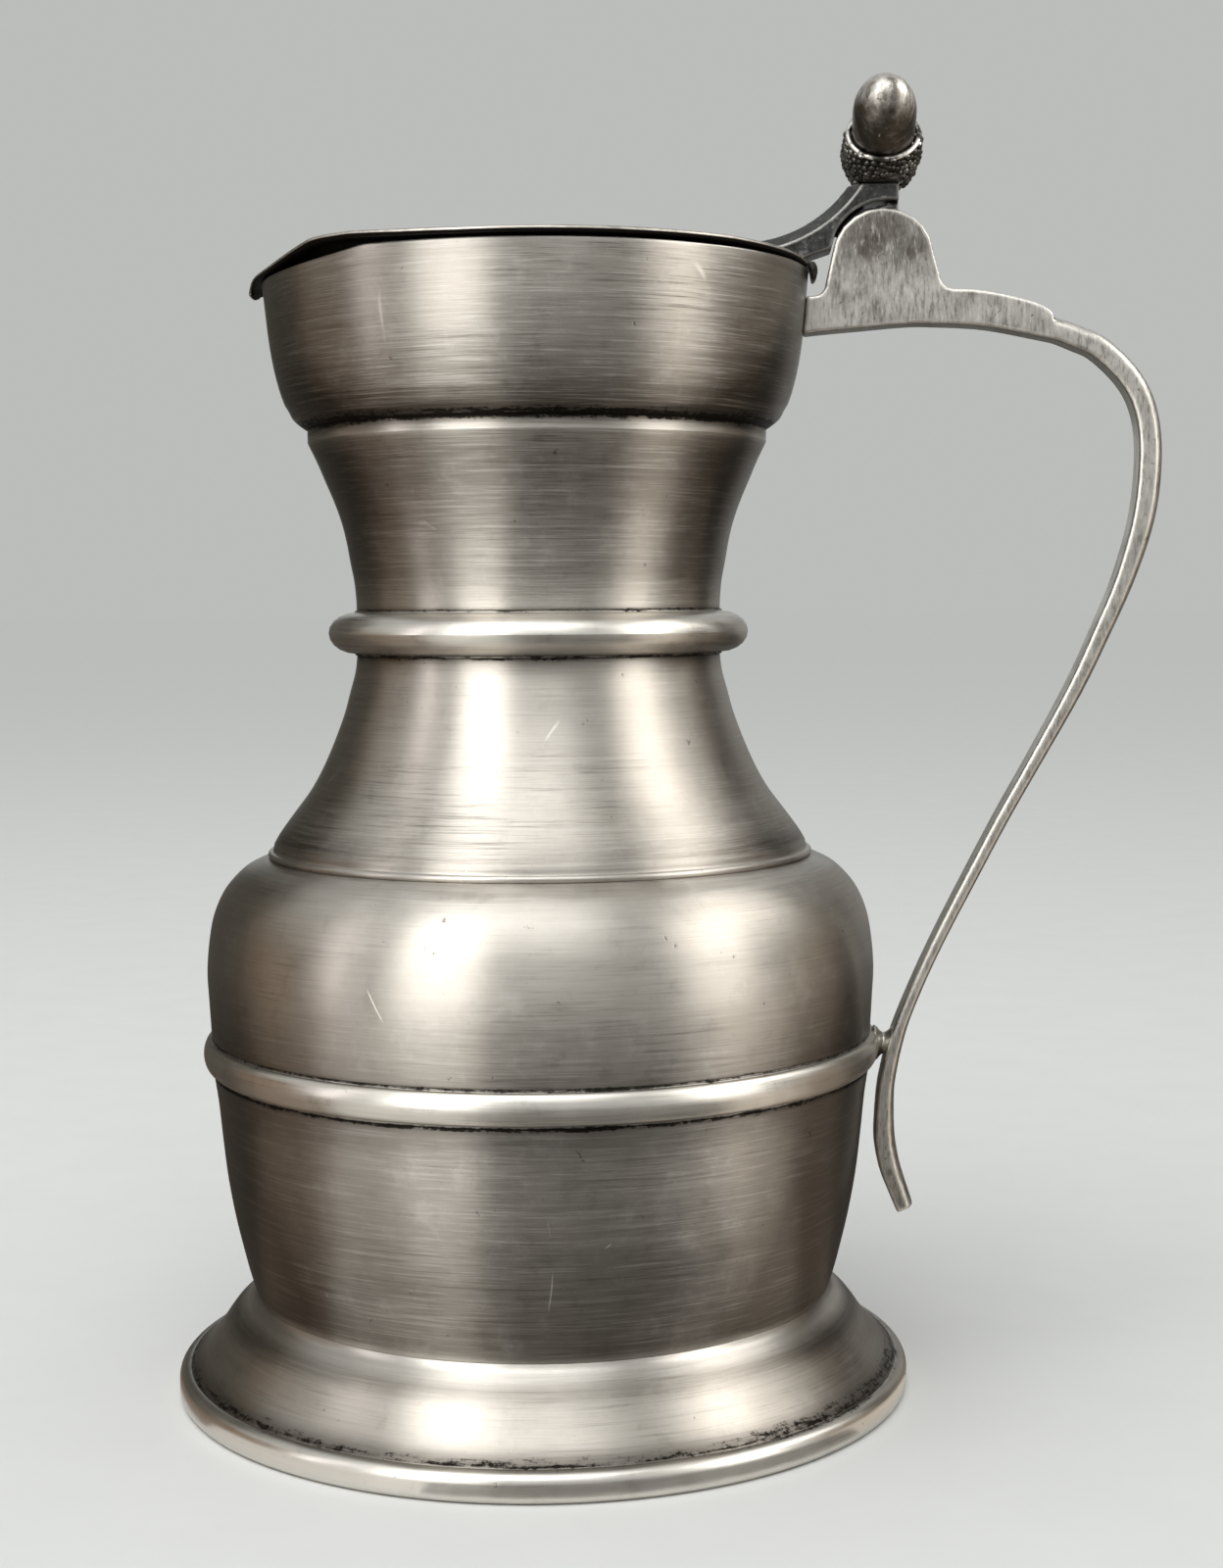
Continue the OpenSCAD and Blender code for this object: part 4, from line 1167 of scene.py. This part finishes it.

# Standing cards, painted reflections of the room's darker sides: their bearings, the height of their
# tops and their colours
CARD_DISTANCE = 0.9
CARD_FOOT = -0.02
for name, azimuths, top, colour in (
        ("left_card", (-158, -110), 0.8, (0.10, 0.095, 0.08)),
        ("left_brown_card", (-110, -76), 0.4, (0.27, 0.195, 0.135)),
        ("right_brown_card", (90, 119), 0.35, (0.31, 0.25, 0.19)),
        ("right_card", (119, 138), 0.8, (0.10, 0.09, 0.078)),
        ("right_back_card", (138, 165), 0.5, (0.34, 0.33, 0.31)),
        ("back_card", (165, 202), 0.2, (0.24, 0.25, 0.235))):
    card(name, azimuths, (CARD_DISTANCE, CARD_FOOT), (CARD_DISTANCE, top), colour)

# Cards on the floor, from just outside the foot: painted reflections of a table darker or paler than the
# floor
NEAR_FLOOR = (0.0762, 0.001)
FAR_FLOOR = (1.2, 0.001)
for name, azimuths, colour in (
        ("floor_far_left", (-158, -100), (0.09, 0.078, 0.065)),
        ("floor_left", (-100, -58), (0.26, 0.205, 0.16)),
        ("floor_left_pale", (-58, -13), (0.8, 0.775, 0.735)),
        ("floor_front", (-13, 60), (0.2, 0.19, 0.175)),
        ("floor_right_pale", (60, 88), (0.78, 0.70, 0.61)),
        ("floor_right", (88, 117), (0.26, 0.21, 0.165)),
        ("floor_far_right", (117, 158), (0.07, 0.062, 0.053)),
        ("floor_back", (158, 202), (0.1, 0.096, 0.09))):
    card(name, azimuths, NEAR_FLOOR, FAR_FLOOR, colour)

ceiling("overhead", (-0.15, -0.75, 1.25), (1.5, 1.0), 1.35)
ceiling("high_front", (-0.1, -0.55, 1.3), (0.95, 0.9), 1.1, on_floor=False)
ceiling("floor_light", (-0.5, -0.4, 1.7), (1.2, 1.2), 1.1, on_metal=False)

# Camera at the photograph's viewpoint, in millimetres, and its lens
CAMERA_PLACE = (42.49, -485.68, 160.61)
SENSOR = 36
LENS = 54.85
SIDE_TURN = math.radians(5)
YAW = math.radians(1.7176)
PITCH = math.radians(-4.4483)
ROLL = math.radians(-0.3419)
camera = placed("camera", bpy.data.cameras.new("camera"))
camera.data.sensor_width = SENSOR
camera.data.lens = LENS
camera.data.clip_start = 0.01
camera.data.clip_end = 20
camera.matrix_world = (Matrix.Translation([v * MM for v in CAMERA_PLACE])
                       @ Matrix.Rotation(SIDE_TURN - YAW, 4, "Z")
                       @ Matrix.Rotation(math.pi / 2 + PITCH, 4, "X")
                       @ Matrix.Rotation(ROLL, 4, "Z"))
bpy.context.scene.camera = camera
bpy.context.scene.view_settings.view_transform = "Standard"
